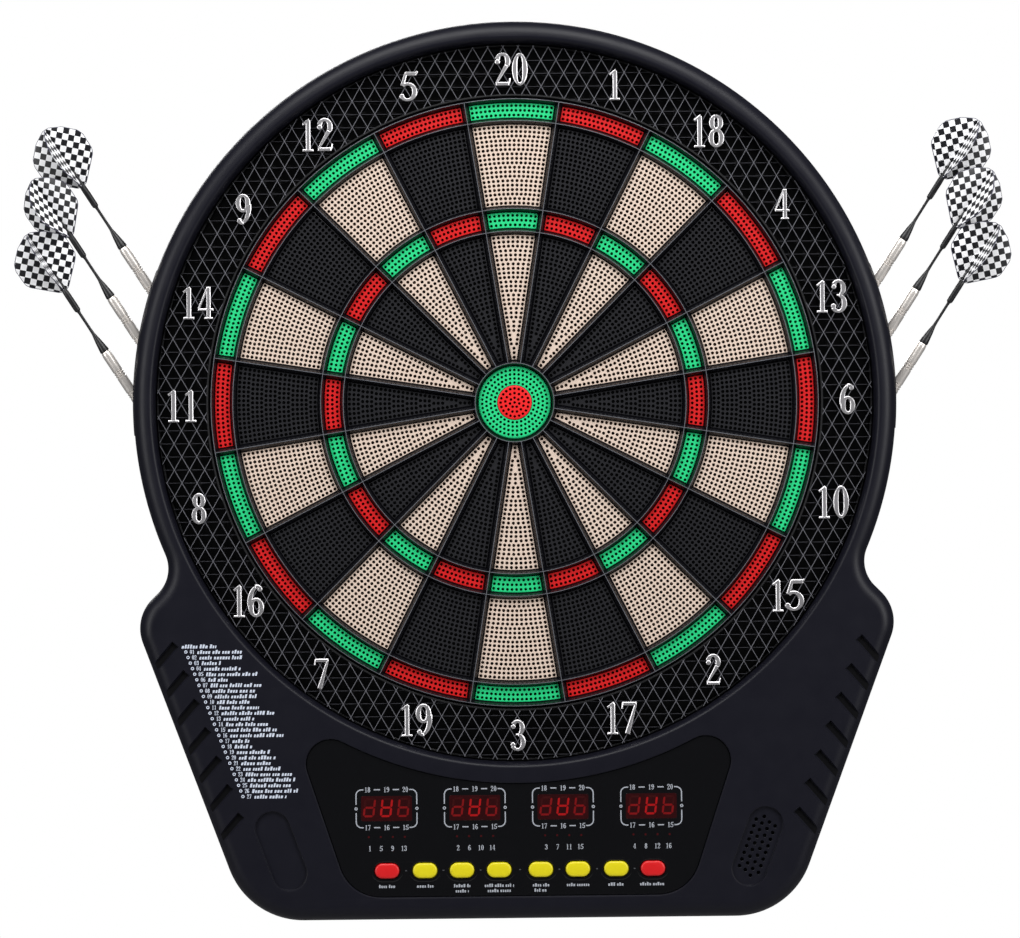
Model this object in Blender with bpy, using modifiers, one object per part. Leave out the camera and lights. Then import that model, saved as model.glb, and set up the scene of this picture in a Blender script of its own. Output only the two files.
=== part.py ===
"""Electronic dartboard with six parked darts.

The board hangs on a wall. World frame: +X right, +Z up, the face looks towards -Y and the wall plane is
Y = 0. The origin is on the bull's axis, on the wall plane. Everything is modelled in board coordinates,
(x, up, depth), under one empty that turns them upright: depth grows from the wall towards the player.
Sizes below are in metres.
"""

import math

import bmesh
import bpy
from mathutils import Matrix, Vector

MM = 0.001
GAP = 0.3 * MM
WELD = 0.001 * MM
OVERSHOOT = 1 * MM  # how far a cutter runs past the surface that it cuts
OVERLAP = 1 * MM  # how far a joined piece reaches into the one that carries it

# Casing outline: a round head, a waist and a tapering lower body.
HEAD_R = 222.25 * MM
WAIST_START_DEG = 23.0
WAIST_R = 20 * MM
SHOULDER_LINE_DEG = 45.0
SHOULDER_LINE = 5.5 * MM
SHOULDER_R = 24 * MM
FLANK_DEG = 20.35
CORNER_R = 46 * MM
BOTTOM_Z = -300.7 * MM

# Casing depths.
SKIRT_BACK = 0.6 * MM
FRONT = 34 * MM
EDGE_R = 9 * MM
WALL = 3.0 * MM
FRONT_WALL = 3.4 * MM
FRONT_BACK = FRONT - FRONT_WALL
OPENING_R, LIP_WIDTH, LIP_DEPTH = 209.5 * MM, 2.2 * MM, 2.6 * MM
OPENING_WALL = 2.2 * MM
OPENING_WALL_BACK = 17.8 * MM

# Target stack depths, from the wall.
BOARD_BACK, BOARD_FRONT = 2.7 * MM, 9.0 * MM
SENSOR_BACK, SENSOR_FRONT = 9.3 * MM, 9.8 * MM
RUBBER_BACK, RUBBER_FRONT = 10.1 * MM, 12.1 * MM
CARRIER_BACK, CARRIER_FRONT = 13.4 * MM, 15.0 * MM
KEY_FRONT = 24.0 * MM
SPIDER_BACK, SPIDER_FRONT = 15.3 * MM, 27.5 * MM
RING_BACK, RING_BASE, RING_FRONT = 15.5 * MM, 17.5 * MM, 26.5 * MM

# Target rings: the crest of each spider wall.
BULL_RING_R = 23.0 * MM
TRIPLE_IN_R = 99.9 * MM
TRIPLE_OUT_R = 113.0 * MM
DOUBLE_IN_R = 164.2 * MM
DOUBLE_OUT_R = 176.9 * MM
RINGS = (BULL_RING_R, TRIPLE_IN_R, TRIPLE_OUT_R, DOUBLE_IN_R, DOUBLE_OUT_R)
INNER_BULL_R, INNER_BULL_FLANGE = 10.0 * MM, 2 * MM
SPIDER_HALF_WALL = 1.2 * MM
KEY_HALF_GAP = 1.5 * MM
BULL_STEP = 1.5 * MM  # the outer bull clears the inner one's flange by more than its travel
CARRIER_HALF_GAP = 0.5 * MM
SPIDER_FLANGE_R = 188 * MM
SPIDER_FLANGE_BACK, SPIDER_FLANGE_FRONT = 9.3 * MM, 15.2 * MM
BOARD_R, STACK_R = 187.5 * MM, 175.6 * MM

# Catch ring.
RING_IN_R, RING_OUT_R, RING_FLANGE_R = 178.6 * MM, 208.9 * MM, 210.9 * MM
RING_WALL, RIB_DROP = 1.6 * MM, 1.5 * MM

# The numbers, clockwise from the top.
NUMBERS = (20, 1, 18, 4, 13, 6, 10, 15, 2, 17, 3, 19, 7, 16, 8, 11, 14, 9, 12, 5)
SECTOR = math.tau / len(NUMBERS)
ARC_STEPS = 2  # facets along each sector's arc
WEB_STEPS = ARC_STEPS * len(NUMBERS)
CIRCLE_STEPS = 60
BULL_STEPS = 24

# Control panel.
FASCIA_TOP_R = 221.3 * MM
FASCIA_SIDE_X, FASCIA_SIDE_Z = 112.0 * MM, -246.0 * MM
FASCIA_SIDE_DEG = 18.3
FASCIA_BOTTOM_Z = -286.9 * MM
FASCIA_TOP_CORNER_R, FASCIA_BOTTOM_CORNER_R = 14.5 * MM, 25 * MM
FASCIA_BACK, FASCIA_FRONT = 30.6 * MM, 32.4 * MM
FASCIA_LEDGE = 5 * MM
FASCIA_BED = 28.1 * MM
DISPLAY_X = (-76.9 * MM, -25.6 * MM, 25.6 * MM, 76.9 * MM)
DISPLAY_Z = -236.9 * MM
DISPLAY_SIZE = (32 * MM, 17 * MM)
DISPLAY_BACK, DISPLAY_FRONT = 23.9 * MM, 30.2 * MM
BUTTONS = ("power", "game", "option", "players", "double", "handicap", "sound", "start")
BUTTON_X = tuple(x * MM for x in (-76.9, -54.9, -33.4, -11.8, 12.4, 33.9, 56.2, 77.5))
BUTTON_Z = -271.5 * MM
BUTTON_HALF = (7.1 * MM, 4.35 * MM)
BUTTON_BACK, BUTTON_FRONT = 26.0 * MM, 34.2 * MM
BUTTON_FLANGE_BACK, BUTTON_FLANGE_FRONT = 27.9 * MM, 29.2 * MM
BUTTON_FLANGE, BUTTON_CLEAR, PLUNGER_R = 1.2 * MM, 0.4 * MM, 2 * MM
MAT_BACK, MAT_FRONT, MAT_DOME = 23.9 * MM, 24.4 * MM, 24.7 * MM
MAT_MARGIN, MAT_HALF_Z, DOME_R = 9 * MM, 7.5 * MM, 3.6 * MM
CIRCUIT_BACK, CIRCUIT_FRONT = 22.0 * MM, 23.6 * MM
CIRCUIT_HALF_X, CIRCUIT_LOW_Z, CIRCUIT_HIGH_Z = 94 * MM, -283 * MM, -227 * MM
CHIP_HALF, CHIP_X, CHIP_Z = (9 * MM, 5 * MM), (-51 * MM, 0.0, 51 * MM), -256 * MM

# Recesses of the lower body.
GROOVES = 7
GROOVE_START = (198.5 * MM, -138.6 * MM)
GROOVE_STEP = (-6.2 * MM, -16.6 * MM)
GROOVE_DEG = -49.0
GROOVE_WIDTH, GROOVE_LENGTH, GROOVE_DEPTH = 4.4 * MM, 60 * MM, 2.0 * MM
OVAL_CENTRE = (138.3 * MM, -259.3 * MM)
OVAL_LENGTH, OVAL_WIDTH, OVAL_DEPTH = 48 * MM, 20.5 * MM, 1.8 * MM
GRILLE_SLOT_X = (-5.4 * MM, 0.0, 5.4 * MM)
GRILLE_SLOT_WIDTH, GRILLE_SLOT_LENGTH = 2.4 * MM, 34 * MM
SPEAKER_R, MAGNET_R = 17.5 * MM, 8 * MM

# Rear cover.
COVER_FRONT = 2.4 * MM
COVER_INSET = WALL + 0.4 * MM
KEYHOLE_X, KEYHOLE_Z = 152 * MM, 127 * MM
KEYHOLE_R, KEYHOLE_SLOT_R, KEYHOLE_RISE = 4.75 * MM, 2.4 * MM, 10 * MM
SCREW_SPOTS = ((138.4 * MM, 164.9 * MM), (160 * MM, -225 * MM))
SCREW_HEAD_R, SCREW_SHANK_R, SCREW_END = 3.1 * MM, 1.5 * MM, 14 * MM
BOSS_R, BOSS_BACK, BOSS_HOLE_R = 3.3 * MM, 2.8 * MM, 1.9 * MM
BAY_CENTRE_Z = -254 * MM
BAY_HALF = (22 * MM, 25 * MM)
BAY_WALL, BAY_TOP, BAY_ROOF = 2 * MM, 20.0 * MM, 21.7 * MM
DOOR_HALF = (24 * MM, 27 * MM)
DOOR_GAP = 0.4 * MM
LATCH_HALF, LATCH_DROP, LATCH_REACH = (6 * MM, 1.2 * MM), 1.8 * MM, 7 * MM
GRIP_LENGTH, GRIP_WIDTH, GRIP_DEPTH, GRIP_RISE = 14 * MM, 5 * MM, 1.1 * MM, 17 * MM
DOOR_BACK, DOOR_FRONT = 0.3 * MM, 2.1 * MM
TAIL_X = (-75 * MM, -45 * MM)
TAIL_BEND_Z, TAIL_RISE_Z, TAIL_END_Z = -213 * MM, -229 * MM, -238 * MM
TAIL_CLEAR = 0.6 * MM
JACK_X, JACK_DEPTH, JACK_HOLE_R = 60 * MM, 12 * MM, 4.5 * MM
JACK_CUT, JACK_STEPS = 8 * MM, 12

# Darts and their racks, given for the right side.
DART_ENTRIES = ((212.2 * MM, 67.6 * MM), (219.5 * MM, 38.5 * MM), (223.3 * MM, 6.7 * MM))
DART_ENTRY_DEPTH = 13.5 * MM
DART_STEEP_DEG = 57.5
DART_LEAN_DEG = 5.0
DART_TURN_DEG = (15.0, 20.0, 6.0)
TIP_REACH = 45 * MM
BARREL_R = 3.0 * MM
BARREL_BACK, BARREL_FRONT = 25 * MM, 75.5 * MM
STEM_END = 127 * MM
FLIGHT_START = 118 * MM
FLIGHT_THICK = 0.5 * MM
RACK_HOLE_R = 3.4 * MM
RACK_IN_R, RACK_SHELF_R, RACK_OUT_R = 212.1 * MM, 218.9 * MM, 223.6 * MM
RACK_DEGREES, RACK_PAD_DEGREES = (-9.5, 22.0), (-4.5, 21.0)
RACK_BACK, RACK_FRONT = 6.5 * MM, 19.0 * MM
RACK_PAD_BACK, RACK_PAD_FRONT, RACK_SLOT_CLEAR = 8.6 * MM, 18.4 * MM, 0.4 * MM

COLOURS = {
    "housing_black": ((0.012, 0.012, 0.014), 0.45, 0.0),
    "cover_black": ((0.02, 0.02, 0.022), 0.6, 0.0),
    "gloss_black": ((0.004, 0.004, 0.005), 0.12, 0.0),
    "spider_black": ((0.01, 0.01, 0.011), 0.3, 0.0),
    "segment_beige": ((0.62, 0.5, 0.42), 0.5, 0.0),
    "segment_black": ((0.015, 0.015, 0.017), 0.5, 0.0),
    "segment_green": ((0.02, 0.5, 0.2), 0.45, 0.0),
    "segment_red": ((0.5, 0.01, 0.012), 0.45, 0.0),
    "rubber_black": ((0.02, 0.02, 0.02), 0.9, 0.0),
    "sensor_film": ((0.65, 0.6, 0.45), 0.3, 0.0),
    "hardboard": ((0.3, 0.18, 0.09), 0.8, 0.0),
    "circuit_green": ((0.01, 0.14, 0.05), 0.4, 0.0),
    "display_red": ((0.08, 0.002, 0.002), 0.1, 0.0),
    "button_yellow": ((0.75, 0.65, 0.01), 0.35, 0.0),
    "button_red": ((0.6, 0.008, 0.008), 0.35, 0.0),
    "steel": ((0.55, 0.55, 0.56), 0.3, 1.0),
}


def material(slot):
    """The named Principled material, made on first use."""
    found = bpy.data.materials.get(slot)
    if found:
        return found
    colour, roughness, metallic = COLOURS[slot]
    made = bpy.data.materials.new(slot)
    made.use_nodes = True
    shader = made.node_tree.nodes["Principled BSDF"]
    shader.inputs["Base Color"].default_value = (*colour, 1)
    shader.inputs["Roughness"].default_value = roughness
    shader.inputs["Metallic"].default_value = metallic
    return made


def clear_scene():
    for old in list(bpy.data.objects):
        bpy.data.objects.remove(old)


clear_scene()
PARTS = bpy.data.collections.new("electronic_dartboard")
CUTTERS = bpy.data.collections.new("cutters")
CUTTERS.hide_render = True
bpy.context.scene.collection.children.link(PARTS)
bpy.context.scene.collection.children.link(CUTTERS)
UPRIGHT = bpy.data.objects.new("board_axes", None)
UPRIGHT.rotation_euler.x = math.radians(90)
PARTS.objects.link(UPRIGHT)


# ---- building helpers ------------------------------------------------------------------------------


def add(name, mesh, slot=None):
    """An object in board coordinates: a part if it has a material slot, a cutter if it has none."""
    obj = bpy.data.objects.new(name, mesh)
    obj.parent = UPRIGHT
    (PARTS if slot else CUTTERS).objects.link(obj)
    if slot:
        mesh.materials.append(material(slot))
    else:
        obj.hide_render = True
        obj.display_type = "WIRE"
    return obj


def clean(mesh):
    """Welds a mesh and turns its faces outwards."""
    shape = bmesh.new()
    shape.from_mesh(mesh)
    bmesh.ops.remove_doubles(shape, verts=shape.verts, dist=WELD)
    bmesh.ops.recalc_face_normals(shape, faces=shape.faces)
    shape.to_mesh(mesh)
    shape.free()


def plate_mesh(name, loops, back, front):
    """A flat plate between two depths, from closed outlines; an outline inside another is a hole."""
    curve = bpy.data.curves.new(name, "CURVE")
    curve.dimensions = "2D"
    curve.fill_mode = "BOTH"
    curve.extrude = (front - back) / 2
    for loop in loops:
        spline = curve.splines.new("POLY")
        spline.points.add(len(loop) - 1)
        for point, (x, z) in zip(spline.points, loop):
            point.co = (x, z, 0, 1)
        spline.use_cyclic_u = True
    guide = bpy.data.objects.new(name + "_outline", curve)
    bpy.context.scene.collection.objects.link(guide)
    graph = bpy.context.evaluated_depsgraph_get()
    mesh = bpy.data.meshes.new_from_object(guide.evaluated_get(graph))
    bpy.data.objects.remove(guide)
    bpy.data.curves.remove(curve)
    mesh.transform(Matrix.Translation((0, 0, (front + back) / 2)))
    mesh.name = name
    clean(mesh)
    return mesh


def plate(name, loops, back, front, slot=None):
    return add(name, plate_mesh(name, loops, back, front), slot)


def round_rim(obj, depth, radius, steps):
    """Rounds the edges that lie at one depth and border that face."""
    shape = bmesh.new()
    shape.from_mesh(obj.data)
    bmesh.ops.dissolve_limit(shape, angle_limit=0.001, verts=shape.verts, edges=shape.edges)
    rim = [edge for edge in shape.edges
           if all(abs(v.co.z - depth) < 1e-6 for v in edge.verts) and edge.calc_face_angle(0) > 1]
    bmesh.ops.bevel(shape, geom=rim, offset=radius, segments=steps, profile=0.5, affect="EDGES")
    shape.to_mesh(obj.data)
    shape.free()


def turned(name, profile, steps, slot=None, centre=(0, 0), axis=None):
    """A closed profile of (radius, depth) points turned round the board's depth axis."""
    mesh = bpy.data.meshes.new(name)
    points = [(r, 0, d) for r, d in profile]
    closed = profile[0][0] > 0
    edges = [(i, i + 1) for i in range(len(points) - 1)]
    if closed:
        edges.append((len(points) - 1, 0))
    mesh.from_pydata(points, edges, [])
    obj = add(name, mesh, slot)
    screw = obj.modifiers.new("turn", "SCREW")
    screw.steps = screw.render_steps = steps
    screw.use_merge_vertices = True
    screw.merge_threshold = 0.00002
    screw.use_smooth_shade = False
    obj.location = (centre[0], centre[1], 0)
    if axis is not None:
        obj.matrix_local = axis
    return obj


def baked(obj):
    """The object's evaluated mesh in place of its modifiers, in board coordinates."""
    bpy.context.view_layer.update()
    graph = bpy.context.evaluated_depsgraph_get()
    mesh = bpy.data.meshes.new_from_object(obj.evaluated_get(graph))
    mesh.transform(obj.matrix_local)
    obj.modifiers.clear()
    obj.data = mesh
    obj.matrix_local = Matrix.Identity(4)
    clean(mesh)
    return obj


def boolean(obj, other, operation):
    modifier = obj.modifiers.new(f"{operation.lower()}_{other.name}", "BOOLEAN")
    modifier.operation = operation
    modifier.solver = "EXACT"
    modifier.object = other


def cut(obj, *cutters):
    for cutter in cutters:
        boolean(obj, cutter, "DIFFERENCE")


def join(obj, *others):
    for other in others:
        boolean(obj, other, "UNION")


def box_loop(x_half, z_half, x=0.0, z=0.0):
    corners = ((-1, -1), (1, -1), (1, 1), (-1, 1))
    return [(x + i * x_half, z + j * z_half) for i, j in corners]


def circle_loop(radius, steps=CIRCLE_STEPS, x=0.0, z=0.0):
    return [(x + radius * math.sin(math.tau * i / steps), z + radius * math.cos(math.tau * i / steps))
            for i in range(steps)]


def arc_points(centre, radius, start, end, steps):
    """Points on an arc, angles in radians counted from +X towards up."""
    return [(centre[0] + radius * math.cos(start + (end - start) * i / steps),
             centre[1] + radius * math.sin(start + (end - start) * i / steps)) for i in range(steps + 1)]


def stadium_loop(length, width, x=0.0, z=0.0, degrees=0.0, steps=6):
    """A slot with round ends, whose long axis is turned from +X."""
    r, half = width / 2, (length - width) / 2
    points = arc_points((half, 0), r, -math.pi / 2, math.pi / 2, steps)
    points += arc_points((-half, 0), r, math.pi / 2, 1.5 * math.pi, steps)
    turn = Matrix.Rotation(math.radians(degrees), 2)
    return [tuple(turn @ Vector(p) + Vector((x, z))) for p in points]


def mirrored(loop):
    return [(-x, z) for x, z in reversed(loop)]


def both_sides(spots):
    return [(side * x, z) for side in (1, -1) for x, z in spots]


# ---- outlines --------------------------------------------------------------------------------------


def casing_loop(inset=0.0):
    """The casing's outline, moved inwards: arcs and straights from the top, mirrored at x = 0."""
    head, waist = HEAD_R - inset, WAIST_R + inset
    shoulder, corner = SHOULDER_R - inset, CORNER_R - inset
    leave = math.radians(WAIST_START_DEG)
    line, flank = math.radians(SHOULDER_LINE_DEG), math.radians(FLANK_DEG)
    half = arc_points((0, 0), head, math.pi / 2, -leave, 19)
    centre = ((HEAD_R + WAIST_R) * math.cos(leave), -(HEAD_R + WAIST_R) * math.sin(leave))
    half += arc_points(centre, waist, math.pi - leave, math.pi + line, 5)[1:]
    reach = WAIST_R + SHOULDER_R
    centre = (centre[0] - reach * math.cos(line) + SHOULDER_LINE * math.sin(line),
              centre[1] - reach * math.sin(line) - SHOULDER_LINE * math.cos(line))
    half += arc_points(centre, shoulder, line, -flank, 5)
    drop = centre[1] - (BOTTOM_Z + CORNER_R)
    centre = (centre[0] + (SHOULDER_R - CORNER_R) / math.cos(flank) - drop * math.tan(flank),
              BOTTOM_Z + CORNER_R)
    half += arc_points(centre, corner, -flank, -math.pi / 2, 6)
    return half + mirrored(half[1:])


def fascia_loop(grow=0.0):
    """The control panel's outline: its top edge runs round the target, its sides lean like the casing's."""
    lean = math.radians(FASCIA_SIDE_DEG)
    top_r, low_r = FASCIA_TOP_CORNER_R + grow, FASCIA_BOTTOM_CORNER_R + grow
    outward = Vector((math.cos(lean), -math.sin(lean)))
    along = Vector((math.sin(lean), math.cos(lean)))
    side = Vector((FASCIA_SIDE_X, FASCIA_SIDE_Z))
    low = side - outward * FASCIA_BOTTOM_CORNER_R
    low += along * ((FASCIA_BOTTOM_Z + FASCIA_BOTTOM_CORNER_R - low.y) / along.y)
    base = side - outward * FASCIA_TOP_CORNER_R
    reach = FASCIA_TOP_R + FASCIA_TOP_CORNER_R
    middle = base.dot(along)
    top = base + along * (-middle - math.sqrt(middle * middle - base.length_squared + reach * reach))
    bearing = math.atan2(top.y, top.x)
    half = arc_points(tuple(low), low_r, -math.pi / 2, -lean, 5)
    half += arc_points(tuple(top), top_r, -lean, bearing + math.pi, 6)
    half += arc_points((0, 0), FASCIA_TOP_R - grow, bearing, -math.pi / 2, 6)[1:]
    return half + mirrored(half[:-1])


def sector_loop(r_in, r_out, half_gap, turn=0.0, steps=ARC_STEPS):
    """A ring sector centred on a bearing clockwise from the top, its straight sides a constant gap from
    the lines between the sectors. Its arcs keep the circle's facets."""
    loop = []
    for radius, sign in ((r_in, 1), (r_out, -1)):
        reach = SECTOR / 2 - math.asin(half_gap / radius)
        bearings = [-reach] + [SECTOR * (i / steps - 0.5) for i in range(1, steps)] + [reach]
        facet = math.cos(SECTOR / steps / 2)
        for bearing in bearings[::sign]:
            step = SECTOR / steps
            facet_middle = (math.floor((bearing + SECTOR / 2) / step + 1e-9) + 0.5) * step - SECTOR / 2
            off = bearing - facet_middle
            r = radius if abs(bearing) < reach else radius * facet / math.cos(off)
            loop.append((r * math.sin(bearing + turn), r * math.cos(bearing + turn)))
    return loop


# ---- casing ----------------------------------------------------------------------------------------


def stadium_pocket(name, side):
    degrees = 90 + side * -FLANK_DEG
    x, z = OVAL_CENTRE
    loop = stadium_loop(OVAL_LENGTH, OVAL_WIDTH, side * x, z, degrees)
    return plate(name, [loop], FRONT - OVAL_DEPTH, FRONT + OVERSHOOT)


def grille_slots():
    """Three slots through the right oval, in front of the speaker."""
    turn = Matrix.Rotation(math.radians(-FLANK_DEG), 2)
    loops = []
    for offset in GRILLE_SLOT_X:
        x, z = turn @ Vector((offset, 0)) + Vector(OVAL_CENTRE)
        loops.append(stadium_loop(GRILLE_SLOT_LENGTH, GRILLE_SLOT_WIDTH, x, z, 90 - FLANK_DEG, 3))
    return plate("grille_slots", loops, FRONT_BACK - 2 * MM, FRONT + OVERSHOOT)


def groove_cutter():
    """Seven slanted grooves on each flank. Each runs out through the rounded edge."""
    loops = []
    for index in range(GROOVES):
        start = Vector(GROOVE_START) + index * Vector(GROOVE_STEP)
        turn = Matrix.Rotation(math.radians(GROOVE_DEG), 2)
        bar = box_loop(GROOVE_LENGTH / 2, GROOVE_WIDTH / 2, GROOVE_LENGTH / 2)
        loop = [tuple(turn @ Vector(p) + start) for p in bar]
        loops += [loop, mirrored(loop)]
    return plate("grooves", loops, FRONT - GROOVE_DEPTH, FRONT + OVERSHOOT)


def front_housing():
    housing = plate("front_housing", [casing_loop()], SKIRT_BACK, FRONT, "housing_black")
    round_rim(housing, FRONT, EDGE_R, 3)
    cavity = plate("housing_cavity", [casing_loop(WALL)], -OVERSHOOT, FRONT_BACK)
    round_rim(cavity, FRONT_BACK, EDGE_R - WALL + 0.6 * MM, 2)
    collar_loop = circle_loop(OPENING_R + OPENING_WALL)
    collar = plate("opening_collar", [collar_loop], OPENING_WALL_BACK, FRONT - 2 * MM)
    bed = plate("fascia_bed", [fascia_loop(2.2 * MM)], FASCIA_BED, FRONT - 2 * MM)
    bosses = plate("housing_bosses", screw_circles(BOSS_R, 10), BOSS_BACK, FRONT - 2.4 * MM)
    opening_profile = [(0, FRONT + OVERSHOOT), (OPENING_R + 3 * MM, FRONT + OVERSHOOT),
                       (OPENING_R + LIP_WIDTH, FRONT), (OPENING_R, FRONT - LIP_DEPTH),
                       (OPENING_R, -2 * OVERSHOOT), (0, -2 * OVERSHOOT)]
    opening = turned("target_opening", opening_profile, CIRCLE_STEPS)
    opening.rotation_euler.z = math.pi / 2
    pocket = plate("fascia_pocket", [fascia_loop()], FASCIA_BACK - GAP, FRONT + OVERSHOOT)
    window = plate("fascia_window", [fascia_loop(-FASCIA_LEDGE)], FASCIA_BED - OVERSHOOT, FRONT)
    screw_holes = plate("boss_holes", screw_circles(BOSS_HOLE_R, 8), 1 * MM, SCREW_END + 2 * MM)
    jack_profile = [(0, JACK_CUT), (JACK_HOLE_R, JACK_CUT), (JACK_HOLE_R, -JACK_CUT), (0, -JACK_CUT)]
    jack_hole = turned("jack_hole", jack_profile, JACK_STEPS, axis=jack_axis())
    rack_slots = [rack_block(f"rack_slot_{side}", side, RACK_PAD_DEGREES, RACK_SHELF_R - OVERSHOOT,
                             RACK_OUT_R + 5 * OVERSHOOT, RACK_PAD_BACK, RACK_PAD_FRONT, RACK_SLOT_CLEAR)
                  for side in (1, -1)]
    cut(housing, cavity)
    join(housing, collar, bed, bosses)
    cut(housing, opening, pocket, window, screw_holes, jack_hole, *rack_slots, groove_cutter(),
        stadium_pocket("oval_right", 1), stadium_pocket("oval_left", -1), grille_slots())


def screw_circles(radius, steps):
    """A circle round each rear screw."""
    return [circle_loop(radius, steps, x, z) for x, z in both_sides(SCREW_SPOTS)]


def rear_cover():
    """The flat back plate, with the battery opening, two keyholes and four sunk screw holes."""
    battery_hole = box_loop(DOOR_HALF[0] + DOOR_GAP, DOOR_HALF[1] + DOOR_GAP, 0, BAY_CENTRE_Z)
    holes = [battery_hole, keyhole_loop(KEYHOLE_X), keyhole_loop(-KEYHOLE_X), *screw_circles(BOSS_HOLE_R, 8)]
    cover = plate("rear_cover", [casing_loop(COVER_INSET), *holes], 0, COVER_FRONT, "cover_black")
    cut(cover, plate("screw_sinks", screw_circles(SCREW_HEAD_R + 0.4 * MM, 12), -OVERSHOOT, 1.5 * MM))


def battery_box():
    """A tray behind the opening, open at the back; its roof carries the circuit board."""
    outer = box_loop(BAY_HALF[0] + BAY_WALL, BAY_HALF[1] + BAY_WALL, 0, BAY_CENTRE_Z)
    box = plate("battery_box", [outer], COVER_FRONT + GAP, BAY_ROOF, "cover_black")
    cut(box, plate("bay_inside", [box_loop(*BAY_HALF, 0, BAY_CENTRE_Z)], -OVERSHOOT, BAY_TOP))


def keyhole_loop(x):
    """A round hole with a narrow slot above it."""
    mouth = math.asin(KEYHOLE_SLOT_R / KEYHOLE_R)
    loop = arc_points((x, KEYHOLE_Z), KEYHOLE_R, math.pi / 2 + mouth, math.tau + math.pi / 2 - mouth, 12)
    return loop + arc_points((x, KEYHOLE_Z + KEYHOLE_RISE), KEYHOLE_SLOT_R, 0, math.pi, 4)


def battery_door():
    outline = box_loop(*DOOR_HALF, 0, BAY_CENTRE_Z)
    door = plate("battery_door", [outline], DOOR_BACK, DOOR_FRONT, "cover_black")
    latch_loop = box_loop(*LATCH_HALF, 0, BAY_CENTRE_Z + BAY_HALF[1] - LATCH_DROP)
    latch = plate("door_latch", [latch_loop], DOOR_FRONT - OVERLAP, DOOR_FRONT + LATCH_REACH)
    grip_loop = stadium_loop(GRIP_LENGTH, GRIP_WIDTH, 0, BAY_CENTRE_Z + GRIP_RISE)
    join(door, latch)
    cut(door, plate("door_grip", [grip_loop], -OVERSHOOT, GRIP_DEPTH))


def rear_screws():
    profile = [(0, SCREW_END), (0.5 * MM, SCREW_END), (SCREW_SHANK_R, SCREW_END - 2.5 * MM),
               (SCREW_SHANK_R, 1.3 * MM), (SCREW_HEAD_R, 1.3 * MM), (SCREW_HEAD_R, 0.2 * MM), (0, 0.2 * MM)]
    for number, spot in enumerate(both_sides(SCREW_SPOTS), 1):
        turned(f"rear_screw_{number}", profile, 8, "steel", spot)


def jack_axis():
    """The inlet's frame: its origin on the casing's bottom edge, +Z out of it."""
    return Matrix.Translation((JACK_X, BOTTOM_Z, JACK_DEPTH)) @ Matrix.Rotation(math.pi / 2, 4, "X")


def dc_jack():
    """The adapter inlet in the casing's bottom edge: a socket with a centre pin."""
    sleeve = [(0, -1.2 * MM), (1.0 * MM, -1.2 * MM), (1.0 * MM, -9 * MM), (2.8 * MM, -9 * MM), (2.8 * MM, 0),
              (4.1 * MM, 0), (4.1 * MM, -4 * MM), (5.5 * MM, -4 * MM), (5.5 * MM, -13 * MM), (0, -13 * MM)]
    turned("dc_jack", sleeve, JACK_STEPS, "gloss_black", axis=jack_axis())


# ---- target ----------------------------------------------------------------------------------------


def spider():
    """One web with 82 openings: 80 in the sectors and the round one of the bull. Its deep rim stands on
    the backing board and has a notch for the sensor's ribbon."""
    web = SPIDER_HALF_WALL
    loops = [circle_loop(DOUBLE_OUT_R + web, WEB_STEPS), circle_loop(BULL_RING_R - web, BULL_STEPS)]
    for index in range(len(NUMBERS)):
        for inner, outer in zip(RINGS, RINGS[1:]):
            loops.append(sector_loop(inner + web, outer - web, web, index * SECTOR))
    body = plate("spider", loops, SPIDER_BACK, SPIDER_FRONT, "spider_black")
    rim_loops = [circle_loop(SPIDER_FLANGE_R, WEB_STEPS), circle_loop(DOUBLE_OUT_R - 0.6 * MM, WEB_STEPS)]
    rim = plate("spider_rim", rim_loops, SPIDER_FLANGE_BACK, SPIDER_FLANGE_FRONT)
    neck_loops = [circle_loop(DOUBLE_OUT_R + web - 0.2 * MM, WEB_STEPS),
                  circle_loop(DOUBLE_OUT_R - 0.4 * MM, WEB_STEPS)]
    neck = plate("spider_neck", neck_loops, SPIDER_FLANGE_FRONT - 1 * MM, SPIDER_BACK + 2 * MM)
    ribbon_middle = sum(TAIL_X) / 2
    ribbon_half = (TAIL_X[1] - TAIL_X[0]) / 2 + TAIL_CLEAR
    notch_loop = box_loop(ribbon_half, 30 * MM, ribbon_middle, -STACK_R)
    join(body, neck, rim)
    cut(body, plate("ribbon_notch", [notch_loop], 0, SENSOR_FRONT + TAIL_CLEAR))


def sector_key_mesh():
    """The four keys of one number on the thin carrier behind the spider, centred at the top."""
    carrier_out = DOUBLE_OUT_R - KEY_HALF_GAP - GAP
    carrier = sector_loop(BULL_RING_R + 2.2 * MM, carrier_out, CARRIER_HALF_GAP)
    key = plate("key_carrier", [carrier], CARRIER_BACK, CARRIER_FRONT)
    for index, (inner, outer) in enumerate(zip(RINGS, RINGS[1:])):
        loop = sector_loop(inner + KEY_HALF_GAP, outer - KEY_HALF_GAP - GAP, KEY_HALF_GAP)
        join(key, plate(f"key_block_{index}", [loop], CARRIER_FRONT - 0.8 * MM, KEY_FRONT))
    return baked(key).data


def sector_keys():
    shared = sector_key_mesh()
    for index, number in enumerate(NUMBERS):
        slot = "segment_beige" if index % 2 == 0 else "segment_black"
        mesh = shared.copy()
        mesh.materials.clear()
        key = add(f"sector_{number}", mesh, slot)
        key.rotation_euler.z = -index * SECTOR


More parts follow.
